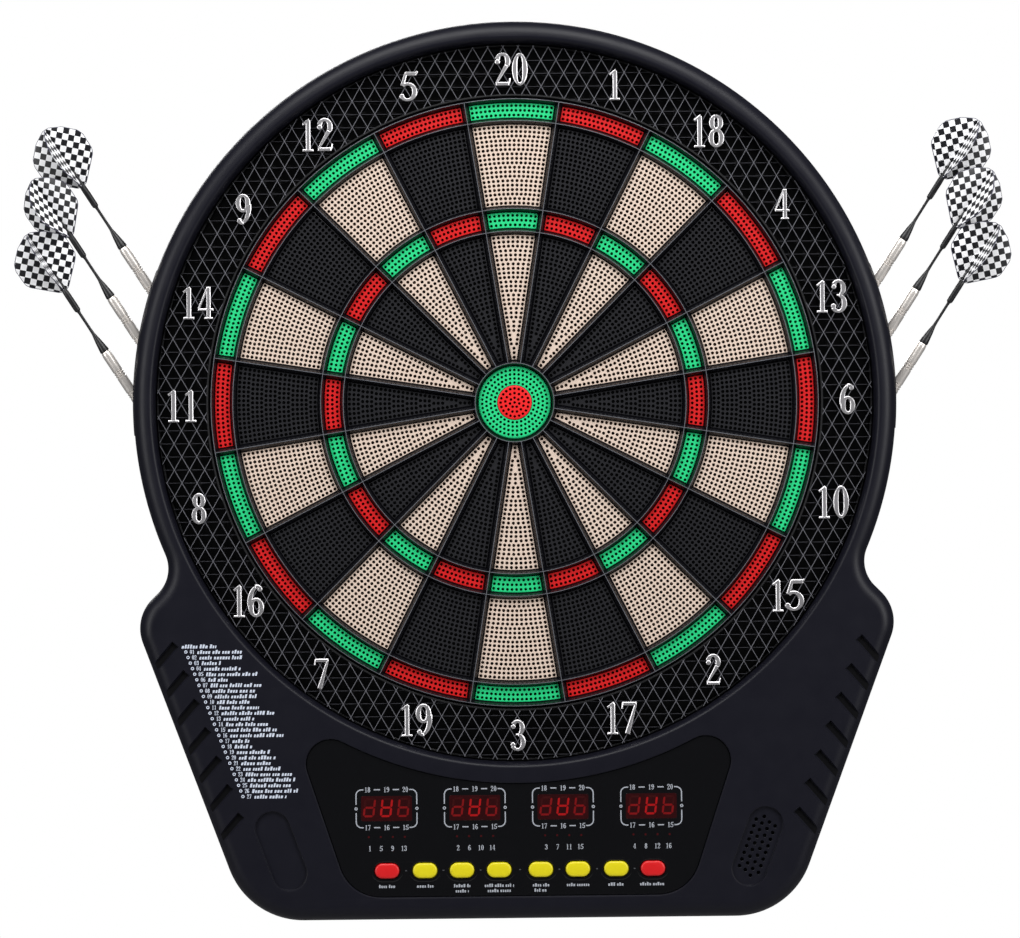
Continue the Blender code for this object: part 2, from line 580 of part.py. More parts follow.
def bull_keys():
    """The round inner key, and the outer one round it, which can be pressed alone."""
    guide_r = INNER_BULL_R + GAP
    collar_r = INNER_BULL_R + INNER_BULL_FLANGE + GAP
    key_r = BULL_RING_R - KEY_HALF_GAP
    carrier_r = BULL_RING_R + 1.1 * MM
    outer = [(guide_r, KEY_FRONT), (key_r, KEY_FRONT), (key_r, CARRIER_FRONT), (carrier_r, CARRIER_FRONT),
             (carrier_r, CARRIER_BACK), (collar_r, CARRIER_BACK), (collar_r, CARRIER_FRONT + BULL_STEP),
             (guide_r, CARRIER_FRONT + BULL_STEP)]
    flange_r = INNER_BULL_R + INNER_BULL_FLANGE
    inner = [(0, KEY_FRONT), (INNER_BULL_R, KEY_FRONT), (INNER_BULL_R, CARRIER_FRONT),
             (flange_r, CARRIER_FRONT), (flange_r, CARRIER_BACK), (0, CARRIER_BACK)]
    turned("outer_bull", outer, BULL_STEPS, "segment_green")
    turned("inner_bull", inner, BULL_STEPS, "segment_red")


def catch_ring():
    """A channel round the target with a rib behind each pair of numbers."""
    inner_r, outer_r = RING_IN_R + RING_WALL, RING_OUT_R - RING_WALL
    profile = [(RING_IN_R, RING_FRONT), (inner_r, RING_FRONT), (inner_r, RING_BASE), (outer_r, RING_BASE),
               (outer_r, RING_FRONT), (RING_OUT_R, RING_FRONT), (RING_OUT_R, RING_BASE),
               (RING_FLANGE_R, RING_BASE), (RING_FLANGE_R, RING_BACK), (RING_IN_R, RING_BACK)]
    ring = turned("catch_ring", profile, CIRCLE_STEPS, "housing_black")
    ring.rotation_euler.z = math.pi / 2
    loops = []
    for index in range(len(NUMBERS)):
        turn = Matrix.Rotation(-(index + 0.5) * SECTOR, 2)
        half = RING_WALL / 2
        reach = (RING_OUT_R - RING_IN_R) / 2 - half
        rib = box_loop(half, reach, 0, (RING_OUT_R + RING_IN_R) / 2)
        loops.append([tuple(turn @ Vector(p)) for p in rib])
    join(ring, plate("ring_ribs", loops, RING_BASE - OVERLAP, RING_FRONT - RIB_DROP))


def target_sheets():
    plate("rubber_sheet", [circle_loop(STACK_R)], RUBBER_BACK, RUBBER_FRONT, "rubber_black")
    plate("backing_board", [circle_loop(BOARD_R)], BOARD_BACK, BOARD_FRONT, "hardboard")


def membrane_sensor():
    """A thin disc with a flat ribbon that passes under the spider's rim and down to the circuit board."""
    sensor = plate("membrane_sensor", [circle_loop(STACK_R)], SENSOR_BACK, SENSOR_FRONT, "sensor_film")
    low, high = SENSOR_BACK + 0.06 * MM, SENSOR_FRONT - 0.06 * MM
    thick = high - low
    landing = CIRCUIT_BACK - GAP - thick
    start = -math.sqrt(STACK_R ** 2 - TAIL_X[0] ** 2) + 3 * MM
    path = [(start, low), (TAIL_BEND_Z, low), (TAIL_RISE_Z, landing), (TAIL_END_Z, landing)]
    side_view = path + [(z, d + thick) for z, d in reversed(path)]
    mesh = plate_mesh("sensor_tail", [side_view], *TAIL_X)
    mesh.transform(Matrix(((0, 0, 1, 0), (1, 0, 0, 0), (0, 1, 0, 0), (0, 0, 0, 1))))
    clean(mesh)
    join(sensor, add("sensor_tail", mesh))


# ---- control panel ---------------------------------------------------------------------------------


def button_spots():
    return [(x, BUTTON_Z) for x in BUTTON_X]


def button_loop(grow, x, z, steps):
    return stadium_loop(2 * (BUTTON_HALF[0] + grow), 2 * (BUTTON_HALF[1] + grow), x, z, 0, steps)


def control_fascia():
    holes = [button_loop(BUTTON_CLEAR, x, z, 4) for x, z in button_spots()]
    plate("control_fascia", [fascia_loop(-GAP), *holes], FASCIA_BACK, FASCIA_FRONT, "gloss_black")


def led_displays():
    for number, x in enumerate(DISPLAY_X, 1):
        half = (DISPLAY_SIZE[0] / 2, DISPLAY_SIZE[1] / 2)
        loop = box_loop(*half, x, DISPLAY_Z)
        plate(f"led_display_{number}", [loop], DISPLAY_BACK, DISPLAY_FRONT, "display_red")


def buttons():
    """A cap that stands through the fascia, a flange that keeps it in, and a plunger on the dome mat."""
    for name, (x, z) in zip(BUTTONS, button_spots()):
        slot = "button_red" if name in (BUTTONS[0], BUTTONS[-1]) else "button_yellow"
        cap_back, plunger_front = BUTTON_FLANGE_FRONT - 0.6 * MM, BUTTON_FLANGE_FRONT - 0.5 * MM
        cap = plate(f"button_{name}", [button_loop(0, x, z, 4)], cap_back, BUTTON_FRONT, slot)
        round_rim(cap, BUTTON_FRONT, 0.9 * MM, 1)
        flange = plate(f"flange_{name}", [button_loop(BUTTON_FLANGE, x, z, 3)], BUTTON_FLANGE_BACK,
                       BUTTON_FLANGE_FRONT)
        plunger = plate(f"plunger_{name}", [circle_loop(PLUNGER_R, 8, x, z)], BUTTON_BACK, plunger_front)
        join(cap, flange, plunger)


def keypad_mat():
    half_x = max(BUTTON_X) + MAT_MARGIN
    outline = box_loop(half_x, MAT_HALF_Z, 0, BUTTON_Z)
    mat = plate("keypad_mat", [outline], MAT_BACK, MAT_FRONT, "rubber_black")
    circles = [circle_loop(DOME_R, 10, x, z) for x, z in button_spots()]
    join(mat, plate("domes", circles, MAT_BACK + 0.2 * MM, MAT_DOME))


def main_circuit_board():
    height = (CIRCUIT_HIGH_Z - CIRCUIT_LOW_Z) / 2
    middle = (CIRCUIT_HIGH_Z + CIRCUIT_LOW_Z) / 2
    outline = box_loop(CIRCUIT_HALF_X, height, 0, middle)
    board = plate("main_circuit_board", [outline], CIRCUIT_BACK, CIRCUIT_FRONT, "circuit_green")
    chips = [box_loop(*CHIP_HALF, x, CHIP_Z) for x in CHIP_X]
    join(board, plate("chips", chips, CIRCUIT_FRONT - 0.8 * MM, CIRCUIT_FRONT + 2.2 * MM))


def speaker():
    """A small loudspeaker behind the grille: frame, cone and magnet."""
    rim, front = SPEAKER_R, FRONT_BACK - 1.3 * MM
    basket, back = front - 4.5 * MM, front - 9 * MM
    profile = [(0, front - 2.5 * MM), (4 * MM, front - 2.2 * MM), (rim - 3 * MM, front - 0.4 * MM),
               (rim - 2.4 * MM, front), (rim, front), (rim, front - 1.6 * MM), (rim - 4 * MM, basket),
               (MAGNET_R, basket), (MAGNET_R, back), (0, back)]
    turned("speaker", profile, 16, "steel", OVAL_CENTRE)


# ---- darts and racks -------------------------------------------------------------------------------


def dart_axis(side, index):
    """The dart's own frame in board coordinates: its tip at the origin, its flight towards +Z."""
    steep, lean = math.radians(DART_STEEP_DEG), math.radians(DART_LEAN_DEG)
    level = math.cos(lean)
    outward = Vector((side * math.cos(steep) * level, math.sin(steep) * level, math.sin(lean)))
    entry = Vector((side * DART_ENTRIES[index][0], DART_ENTRIES[index][1], DART_ENTRY_DEPTH))
    up = Vector((0, 0, 1))
    across = up.cross(outward).normalized()
    frame = Matrix((across, outward.cross(across), outward)).transposed().to_4x4()
    spin = Matrix.Rotation(math.radians(side * DART_TURN_DEG[index]), 4, "Z")
    return Matrix.Translation(entry - outward * TIP_REACH) @ frame @ spin


def flight_loop():
    """One pair of wings: a narrow root, wide shoulders and a blunt tail."""
    rises = ((1.2, 0), (4.5, 2.5), (13.5, 11.5), (17.4, 18), (18, 24), (16.8, 31), (12, 38.5), (3, 41))
    side = [(x * MM, FLIGHT_START + rise * MM) for x, rise in rises]
    return side + mirrored(side)


def dart_mesh():
    """Soft tip, barrel and stem turned as one, with the two crossing pairs of wings."""
    profile = [(0, STEM_END), (1.6 * MM, STEM_END), (1.6 * MM, FLIGHT_START - 4 * MM), (1.25 * MM, 90 * MM),
               (2.7 * MM, BARREL_FRONT + 2 * MM), (2.7 * MM, BARREL_FRONT), (BARREL_R, BARREL_FRONT - 1 * MM),
               (BARREL_R, BARREL_BACK + 1.5 * MM), (2.2 * MM, BARREL_BACK), (1.9 * MM, BARREL_BACK - 6 * MM),
               (0.9 * MM, 6 * MM), (0.6 * MM, 0.8 * MM), (0, 0)]
    dart = turned("dart_body", profile, 8)
    for name, turn in (("wings_a", 0), ("wings_b", math.pi / 2)):
        mesh = plate_mesh(name, [flight_loop()], -FLIGHT_THICK / 2, FLIGHT_THICK / 2)
        mesh.transform(Matrix.Rotation(turn, 4, "Z") @ Matrix.Rotation(math.pi / 2, 4, "X"))
        join(dart, add(name, mesh))
    return baked(dart).data


def darts():
    shared = dart_mesh()
    number = 0
    for side in (-1, 1):
        for index in range(len(DART_ENTRIES)):
            number += 1
            dart = add(f"dart_{number}", shared.copy(), "steel")
            dart.matrix_local = dart_axis(side, index)


def rack_block(name, side, degrees, r_in, r_out, back, front, grow=0.0, slot=None):
    """A block along the casing's round side."""
    steps = 6
    start, end = (math.radians(a) for a in degrees)
    more = grow / r_in
    loop = arc_points((0, 0), r_in, start - more, end + more, steps)
    loop += arc_points((0, 0), r_out, end + more, start - more, steps)
    if side < 0:
        loop = mirrored(loop)
    return plate(name, [loop], back - grow, front + grow, slot)


def dart_racks():
    """A shelf inside each side of the casing, with a pad that stands through its wall and three sockets."""
    reach = TIP_REACH + 40 * MM
    profile = [(0, reach), (RACK_HOLE_R, reach), (RACK_HOLE_R, 0), (0, 0)]
    for side, name in ((-1, "left"), (1, "right")):
        rack = rack_block(f"dart_rack_{name}", side, RACK_DEGREES, RACK_IN_R, RACK_SHELF_R, RACK_BACK,
                          RACK_FRONT, slot="housing_black")
        pad = rack_block(f"rack_pad_{name}", side, RACK_PAD_DEGREES, RACK_SHELF_R - 2 * MM, RACK_OUT_R,
                         RACK_PAD_BACK, RACK_PAD_FRONT)
        join(rack, pad)
        for index in range(len(DART_ENTRIES)):
            cut(rack, turned(f"socket_{name}_{index}", profile, 12, axis=dart_axis(side, index)))


def smooth_round_parts():
    for obj in PARTS.objects:
        if obj.type == "MESH":
            obj.data.shade_smooth()
            obj.data.set_sharp_from_angle(angle=math.radians(30))


def main():
    front_housing()
    rear_cover()
    battery_box()
    battery_door()
    rear_screws()
    dc_jack()
    catch_ring()
    spider()
    sector_keys()
    bull_keys()
    target_sheets()
    membrane_sensor()
    control_fascia()
    led_displays()
    buttons()
    keypad_mat()
    main_circuit_board()
    speaker()
    dart_racks()
    darts()
    smooth_round_parts()


main()
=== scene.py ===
"""The look of the electronic dartboard: fine surfaces, materials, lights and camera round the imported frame.

World frame: +X right, +Z up, the face towards -Y and the wall plane at Y = 0, in metres. Shapes are worked
out in board coordinates, (x, up, depth), whose depth grows from the wall towards the player.
"""

import math
import random

import bmesh
import bpy
from mathutils import Matrix, Vector
from mathutils.geometry import tessellate_polygon


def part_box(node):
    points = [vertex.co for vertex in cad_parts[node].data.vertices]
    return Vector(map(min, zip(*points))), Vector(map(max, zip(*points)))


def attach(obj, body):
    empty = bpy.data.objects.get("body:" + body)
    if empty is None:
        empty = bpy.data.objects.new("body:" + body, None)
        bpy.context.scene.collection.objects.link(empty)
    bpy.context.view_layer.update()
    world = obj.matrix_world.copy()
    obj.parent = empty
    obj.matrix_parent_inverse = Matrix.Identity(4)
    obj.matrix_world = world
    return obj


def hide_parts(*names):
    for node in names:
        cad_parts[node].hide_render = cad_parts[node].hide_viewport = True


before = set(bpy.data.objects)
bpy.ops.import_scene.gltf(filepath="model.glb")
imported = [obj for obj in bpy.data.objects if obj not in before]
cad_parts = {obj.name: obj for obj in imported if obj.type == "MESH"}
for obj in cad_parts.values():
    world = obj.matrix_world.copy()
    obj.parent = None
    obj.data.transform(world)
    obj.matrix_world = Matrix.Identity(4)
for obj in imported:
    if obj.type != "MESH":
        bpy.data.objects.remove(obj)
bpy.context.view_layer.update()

MM = 0.001
TOUCH = 0.05 * MM  # how far a print or an inlay stands over the surface under it
FILL_TRIES, FILL_TURN = 16, 0.7  # turns of a face that the filler is tried at, and the radians between them

# Casing, with its own outline and edge; its overall size comes from the frame.
HEAD_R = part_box("front_housing")[1].z
BOTTOM_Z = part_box("front_housing")[0].z
FRONT = -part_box("front_housing")[0].y
SKIRT_BACK = -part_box("front_housing")[1].y
WAIST_START_DEG, WAIST_R = 23.0, 20 * MM
SHOULDER_LINE_DEG, SHOULDER_LINE, SHOULDER_R = 45.0, 5.5 * MM, 24 * MM
FLANK_DEG, CORNER_R = 20.35, 46 * MM
EDGE_R, WALL, FRONT_WALL = 9 * MM, 3 * MM, 3.4 * MM
OVAL_CENTRE = (138.3 * MM, -259.3 * MM)
OVAL_LENGTH, OVAL_WIDTH, OVAL_DEPTH = 48 * MM, 20.5 * MM, 1.8 * MM
GRILLE_R, GRILLE_PITCH = 1.05 * MM, 4.1 * MM
GROOVES, GROOVE_DEG = 7, -49.0
GROOVE_START, GROOVE_STEP = (198.5 * MM, -138.6 * MM), (-6.2 * MM, -16.6 * MM)
GROOVE_WIDTH, GROOVE_LENGTH, GROOVE_DEPTH, GROOVE_FLARE = 4.4 * MM, 60 * MM, 2.0 * MM, 0.5 * MM
JACK_PLACE, JACK_HOLE_R = (60 * MM, BOTTOM_Z, 12 * MM), 4.5 * MM
RACK_SLOT = (HEAD_R - 5 * MM, HEAD_R + 5 * MM, -4.7, 21.2)  # two radii and two bearings
RACK_SLOT_DEPTHS = (8.2 * MM, 18.8 * MM)
OPENING_LIP = (  # radius and depth in mm, from the casing's face round the lip of the target's opening
    (212.5, 34), (211.7, 33.8), (211.0, 33.3), (210.4, 32.5), (209.5, 30.6), (209.5, 17.8), (211.7, 17.8),
    (211.7, 30.6))

# Target.
NUMBERS = (20, 1, 18, 4, 13, 6, 10, 15, 2, 17, 3, 19, 7, 16, 8, 11, 14, 9, 12, 5)
SECTOR = math.tau / len(NUMBERS)
RINGS = tuple(r * MM for r in (23.0, 99.9, 113.0, 164.2, 176.9))
KEY_FRONT = -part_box("inner_bull")[0].y
KEY_BACK = -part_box("inner_bull")[1].y
CARRIER_FRONT = KEY_BACK + 1.6 * MM
KEY_SIDE, KEY_END = 2.35 * MM, 2.0 * MM
WEB_SIDE, WEB_END = 2.15 * MM, 1.8 * MM
BULL_KEY_END = 1.7 * MM  # from the bull's ring to the outer bull key
BULL_WEB_END = BULL_KEY_END - 0.3 * MM  # the web stops short of that key, which slides inside it
SPIDER_FRONT = -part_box("spider")[0].y
SPIDER_BACK = CARRIER_FRONT + 0.3 * MM
RIM_R, RIM_IN_R, RIM_FRONT = 188 * MM, 176.3 * MM, 15.2 * MM  # the web's own rim, under the catch ring
RIM_BACK, RIM_BACK_CABLE = 9.3 * MM, 10.4 * MM  # the second is where the rim clears the sensor's cable
CABLE_SPAN = (-76 * MM, -44 * MM)
INNER_BULL_R = 10 * MM
ARC_STEPS = 8  # facets along one sector's arc
HOLE_R, RING_HOLE_R, BULL_HOLE_R = 1.04 * MM, 0.93 * MM, 0.86 * MM
HOLE_SINK, HOLE_DEPTH, HOLE_TAPER = 0.12 * MM, 7 * MM, 0.92
HOLE_PITCH, HOLE_ROW_MAX, HOLE_SIDES = 2.55 * MM, 2.75 * MM, 10
HOLE_MARGIN = 0.32 * MM + HOLE_R + 0.08 * MM  # from a key's side to its nearest hole's centre

# Catch ring, its lattice and the numbers on it.
RING_FRONT, RING_BACK = -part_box("catch_ring")[0].y, -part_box("catch_ring")[1].y
RING_FLOOR = RING_BACK + 2 * MM
RING_IN_R, RING_OUT_R, RING_FLANGE_R, RING_WALL = 178.6 * MM, 208.9 * MM, 210.9 * MM, 1.2 * MM
LATTICE_SIDE, LATTICE_HALF_RIB = 8.82 * MM, 0.19 * MM
LATTICE_NODE = (-0.3 * MM, 199.4 * MM)
LEVEL_RIB_DROP = 1.6 * MM  # how far the level ribs lie below the slanting ones
NUMBER_R, NUMBER_BASE, NUMBER_RISE, NUMBER_HEIGHT = 194 * MM, RING_FRONT - 0.3 * MM, 1.6 * MM, 19.4 * MM

# Control panel.
FASCIA_FRONT, FASCIA_BACK = -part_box("control_fascia")[0].y, -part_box("control_fascia")[1].y
FASCIA_TOP_R, FASCIA_SIDE, FASCIA_SIDE_DEG = 221.3 * MM, (112.0 * MM, -246.0 * MM), 18.3
FASCIA_BOTTOM_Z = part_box("control_fascia")[0].z - 0.3 * MM
FASCIA_TOP_CORNER_R, FASCIA_BOTTOM_CORNER_R = 14.5 * MM, 25 * MM
BUTTONS = ("power", "game", "option", "players", "double", "handicap", "sound", "start")
WINDOW_SIZE, WINDOW_R = (29.6 * MM, 14.6 * MM), 1.2 * MM
BRACKET_SIZE, BRACKET_R, PRINT_LINE = (35.3 * MM, 22.0 * MM), 3.2 * MM, 0.66 * MM
DISPLAY_RISE = 1.6 * MM  # the window sits above the middle of the display module
BRACKET_SIDE_GAP, BRACKET_STUB = 2.4 * MM, 4.3 * MM
SMALL_NUMBER, DOT_Z, DOT_LABEL_Z, LABEL_Z = 3.1 * MM, -251.8 * MM, -258.5 * MM, -280.4 * MM
LIST_START, LIST_SHIFT, LIST_PITCH = (-193.2 * MM, -143.0 * MM), 1.24 * MM, 3.24 * MM
LIST_ROWS, LIST_HEIGHT, LIST_SLANT = 27, 2.5 * MM, 0.22


# ---- materials -------------------------------------------------------------------------------------


def srgb(*display):
    """A colour given in display values from 0 to 255, as the linear colour a shader takes."""
    return tuple(c / 255 / 12.92 if c <= 10 else ((c / 255 + 0.055) / 1.055) ** 2.4 for c in display)


def node(tree, kind, **values):
    """A shader node. A value is a setting if the node has one of that name, and an input if it doesn't."""
    made = tree.nodes.new(kind)
    for name, value in values.items():
        if hasattr(made, name):
            setattr(made, name, value)
        else:
            made.inputs[name.replace("_", " ")].default_value = value
    return made


def surface(name, colour, roughness, metallic=0.0, tone=0.12, tone_size=12 * MM, spread=0.06, grain=0.3 * MM,
            height=0.01 * MM, specular=0.5):
    """A moulded or machined surface: its colour and roughness drift slowly, and a fine grain covers it."""
    made = bpy.data.materials.new(name)
    made.use_nodes = True
    tree = made.node_tree
    shader = tree.nodes["Principled BSDF"]
    shader.inputs["Metallic"].default_value = metallic
    shader.inputs["Specular IOR Level"].default_value = specular
    where = node(tree, "ShaderNodeTexCoord")
    drift = node(tree, "ShaderNodeTexNoise", Scale=1 / tone_size, Detail=4.0, Roughness=0.6)
    fine = node(tree, "ShaderNodeTexNoise", Scale=1 / grain, Detail=2.0, Roughness=0.5)
    tones = node(tree, "ShaderNodeMix", data_type="RGBA")
    tones.inputs[6].default_value = (*(c * (1 - tone) for c in colour), 1)
    tones.inputs[7].default_value = (*(min(1, c * (1 + tone)) for c in colour), 1)
    rough = node(tree, "ShaderNodeMapRange", To_Min=roughness - spread, To_Max=roughness + spread)
    bump = node(tree, "ShaderNodeBump", Strength=1.0, Distance=height)
    for noise in (drift, fine):
        tree.links.new(where.outputs["Object"], noise.inputs["Vector"])
    tree.links.new(drift.outputs["Fac"], tones.inputs[0])
    tree.links.new(tones.outputs[2], shader.inputs["Base Color"])
    tree.links.new(drift.outputs["Fac"], rough.inputs["Value"])
    tree.links.new(rough.outputs["Result"], shader.inputs["Roughness"])
    tree.links.new(fine.outputs["Fac"], bump.inputs["Height"])
    tree.links.new(bump.outputs["Normal"], shader.inputs["Normal"])
    return made


def glowing(name, colour, strength):
    """A lit display segment under its red window: a faint mottled glow. The unlit segments get the same glow,
    fainter, as painted light.
    """
    made = surface(name, tuple(c * 0.4 for c in colour), 0.25, height=0.0)
    shader = made.node_tree.nodes["Principled BSDF"]
    shader.inputs["Emission Strength"].default_value = strength
    tones = next(n for n in made.node_tree.nodes if n.bl_idname == "ShaderNodeMix")
    glow = node(made.node_tree, "ShaderNodeMix", data_type="RGBA")
    glow.inputs[6].default_value = (*(c * 0.7 for c in colour), 1)
    glow.inputs[7].default_value = (*colour, 1)
    made.node_tree.links.new(tones.inputs[0].links[0].from_socket, glow.inputs[0])
    made.node_tree.links.new(glow.outputs[2], shader.inputs["Emission Color"])
    return made


def checked(name, light, dark, cell):
    """A flight's printed check, turned 45 degrees to the dart. Each wing lies in a plane through the dart's
    own Z axis, so x + y is the way out along any of them."""
    made = surface(name, light, 0.3, height=0.004 * MM)
    tree = made.node_tree
    split = node(tree, "ShaderNodeSeparateXYZ")
    out = node(tree, "ShaderNodeMath", operation="ADD")
    rise = node(tree, "ShaderNodeMath", operation="ADD")
    fall = node(tree, "ShaderNodeMath", operation="SUBTRACT")
    pair = node(tree, "ShaderNodeCombineXYZ", Z=cell / 2 * math.sqrt(2))
    check = node(tree, "ShaderNodeTexChecker", Scale=1 / (cell * math.sqrt(2)))
    where = next(n for n in tree.nodes if n.bl_idname == "ShaderNodeTexCoord")
    tones = next(n for n in tree.nodes if n.bl_idname == "ShaderNodeMix")
    inks = node(tree, "ShaderNodeMix", data_type="RGBA")
    inks.inputs[7].default_value = (*dark, 1)
    tree.links.new(where.outputs["Object"], split.inputs[0])
    tree.links.new(split.outputs["X"], out.inputs[0])
    tree.links.new(split.outputs["Y"], out.inputs[1])
    for turn, socket in ((rise, "X"), (fall, "Y")):
        tree.links.new(out.outputs[0], turn.inputs[0])
        tree.links.new(split.outputs["Z"], turn.inputs[1])
        tree.links.new(turn.outputs[0], pair.inputs[socket])
    tree.links.new(pair.outputs[0], check.inputs["Vector"])
    tree.links.new(check.outputs["Fac"], inks.inputs[0])
    tree.links.new(tones.outputs[2], inks.inputs[6])
    tree.links.new(inks.outputs[2], tree.nodes["Principled BSDF"].inputs["Base Color"])
    return made


KEY_GRAIN = {"grain": 0.25 * MM, "height": 0.006 * MM}
INK = {"roughness": 0.5, "tone": 0.05, "height": 0.004 * MM}
HOUSING = surface("housing_satin", srgb(15, 15, 24), 0.42, specular=0.22, grain=0.22 * MM, tone=0.08)
# Painted shade: the grooves' floors are coloured near black to stand in for the shade that falls in them.
GROOVE_PAINTED_SHADE = surface("groove_painted_shade", srgb(5, 5, 7), 0.6, specular=0.1)
COVER = surface("cover_textured", srgb(34, 34, 38), 0.55, grain=0.4 * MM, height=0.05 * MM)
GLOSS = surface("fascia_gloss", srgb(7, 7, 9), 0.09, spread=0.02, grain=3 * MM, height=0.002 * MM)
SPIDER = surface("spider_gloss", srgb(13, 13, 17), 0.28, grain=2 * MM, height=0.002 * MM, specular=0.25)
# Painted highlight: the web's crest faces are painted light grey for the light that the rounded crests catch.
CREST_PAINTED_HIGHLIGHT = surface("spider_crest_painted_highlight", srgb(96, 98, 104), 0.25, grain=2 * MM, height=0.002 * MM, tone=0.2)
LATTICE = surface("channel_black", srgb(15, 15, 17), 0.45, grain=0.4 * MM)
# Painted highlight: the black ribs' tops are painted grey for the light they catch, and the level ribs, which
# lie lower, a darker grey. The ribs' sides keep the channel's black.
RIB_TOPS_PAINTED_HIGHLIGHT = surface("lattice_top_painted_highlight", srgb(100, 100, 106), 0.3, grain=0.4 * MM, height=0.004 * MM)
LEVEL_RIBS_PAINTED_HIGHLIGHT = surface("lattice_low_painted_highlight", srgb(52, 52, 57), 0.35, grain=0.4 * MM, height=0.004 * MM)
BEIGE = surface("key_beige", srgb(207, 187, 172), 0.45, tone=0.04, **KEY_GRAIN)
BLACK = surface("key_black", srgb(30, 30, 33), 0.3, grain=0.25 * MM, height=0.008 * MM)
GREEN = surface("key_green", srgb(34, 198, 124), 0.36, tone=0.05, **KEY_GRAIN)
RED = surface("key_red", srgb(198, 22, 24), 0.36, tone=0.07, **KEY_GRAIN)
SILVER = surface("number_silver", srgb(202, 200, 202), 0.3, metallic=0.82, tone=0.04, spread=0.03,
                 grain=3 * MM, height=0.002 * MM)
PANEL_PRINT = surface("print_pale", srgb(158, 162, 170), **INK)
PRINT = surface("print_white", srgb(196, 203, 218), **INK)
PRINT_DIM = surface("print_grey", srgb(70, 72, 76), **INK)
WINDOW = surface("window_red", srgb(42, 3, 5), 0.12, spread=0.02, tone=0.5, tone_size=8 * MM, height=0.0)
SEGMENT = glowing("segment_red", srgb(190, 18, 22), 0.3)
SEGMENT_DIM = glowing("segment_red_dim", srgb(150, 16, 20), 0.18)
# The unlit segments get a faint glow too: painted light, as they are off.
SEGMENT_OFF_PAINTED_GLOW = glowing("segment_red_off_painted_glow", srgb(74, 8, 10), 0.08)
DOT = glowing("dot_red", srgb(90, 8, 12), 0.12)
YELLOW = surface("button_yellow_silicone", srgb(214, 200, 14), 0.38, tone=0.04)
BUTTON_RED = surface("button_red_silicone", srgb(204, 20, 24), 0.38, tone=0.05)
RUBBER = surface("rubber", srgb(34, 34, 34), 0.85, grain=0.6 * MM, height=0.04 * MM)
FILM = surface("sensor_film_tracks", srgb(205, 200, 172), 0.25, tone=0.2, tone_size=5 * MM)
FIBRE = surface("hardboard_fibre", srgb(142, 108, 74), 0.8, tone=0.35, tone_size=2 * MM, height=0.05 * MM)
CIRCUIT = surface("circuit_mask", srgb(18, 92, 52), 0.3, tone=0.4, tone_size=3 * MM)
STEEL = surface("bright_steel", srgb(228, 222, 216), 0.3, metallic=0.6, tone=0.06, grain=0.6 * MM,
                height=0.004 * MM)
SCREW_STEEL = surface("zinc_steel", srgb(165, 165, 168), 0.35, metallic=1.0, tone=0.1)
BULL_RED = surface("bull_red", srgb(222, 30, 32), 0.36, tone=0.07, **KEY_GRAIN)
NYLON = surface("nylon_black", srgb(22, 22, 24), 0.35)
FLIGHT_EDGE = surface("flight_edge", srgb(62, 62, 82), 0.4, tone=0.05)
CHECKS = checked("flight_checks", srgb(246, 246, 250), srgb(20, 20, 24), 3.6 * MM)


# ---- building helpers ------------------------------------------------------------------------------


class Shell:
    """The points and faces of one piece, gathered in board coordinates."""

    def __init__(self):
        self.points = []
        self.faces = []

    def ring(self, loop, depth):
        """Adds a closed outline at one depth, or one depth per point, and returns its point numbers."""
        first = len(self.points)
        depths = depth if isinstance(depth, list) else [depth] * len(loop)
        self.points += [(x, z, d) for (x, z), d in zip(loop, depths)]
        return list(range(first, len(self.points)))

    def skin(self, *rings):
        """Joins each ring to the next, point to point."""
        for a, b in zip(rings, rings[1:]):
            self.faces += [(a[i - 1], a[i], b[i], b[i - 1]) for i in range(len(a))]

    def loft(self, outline, profile):
        """Rings of outline(inset) at the depths that the profile gives, skinned. Returns them."""
        rings = [self.ring(outline(inset), depth) for inset, depth in profile]
        self.skin(*rings)
        return rings

    def fill(self, *rings):
        """Fills the flat area inside the first ring and outside the others. The filler can slip on a field of
        holes, and then its number of triangles is wrong, so it's tried at a few turns of the same area."""
        numbers = [i for ring in rings for i in ring]
        wanted = len(numbers) + 2 * len(rings) - 4
        tries = []
        for turn in range(FILL_TRIES):
            spin = Matrix.Rotation(FILL_TURN * turn, 2)
            flat = [[(spin @ Vector(self.points[i][:2]) / MM).to_3d() for i in ring] for ring in rings]
            tries.append(tessellate_polygon(flat))
            if len(tries[-1]) == wanted:
                break
        best = min(tries, key=lambda faces: abs(len(faces) - wanted))
        self.faces += [tuple(numbers[i] for i in face) for face in best]

    def cap(self, *rings):
        """Closes each ring with one face."""
        self.faces += [tuple(ring) for ring in rings]

    def solid(self, *rings):
        """Joins the rings and closes the first and the last with one face each."""
        self.skin(*rings)
        self.cap(rings[0], rings[-1])

    def block(self, *rings):
        """Joins the rings and fills the first and the last, whose outlines need not be convex."""
        self.skin(*rings)
        self.fill(rings[0])
        self.fill(rings[-1])

    def piece(self, name, *rest):
        return piece(name, self.mesh(name), *rest)

    def mesh(self, name, weld=0.0, upright=True, sharp=30):
        made = bpy.data.meshes.new(name)
        points = [(x, -d, z) for x, z, d in self.points] if upright else self.points
        made.from_pydata(points, [], self.faces)
        return tidied(made, weld, sharp)


def tidied(mesh, weld=0.0, sharp=30):
    """Turns the faces outwards and shades the mesh smooth between its sharp edges."""
    shape = bmesh.new()
    shape.from_mesh(mesh)
    if weld:
        bmesh.ops.remove_doubles(shape, verts=shape.verts, dist=weld)
    bmesh.ops.recalc_face_normals(shape, faces=shape.faces)
    shape.to_mesh(mesh)
    shape.free()
    mesh.shade_smooth()
    mesh.set_sharp_from_angle(angle=math.radians(sharp))
    return mesh


def linked(name, data):
    """A new object in the scene."""
    obj = bpy.data.objects.new(name, data)
    bpy.context.scene.collection.objects.link(obj)
    return obj


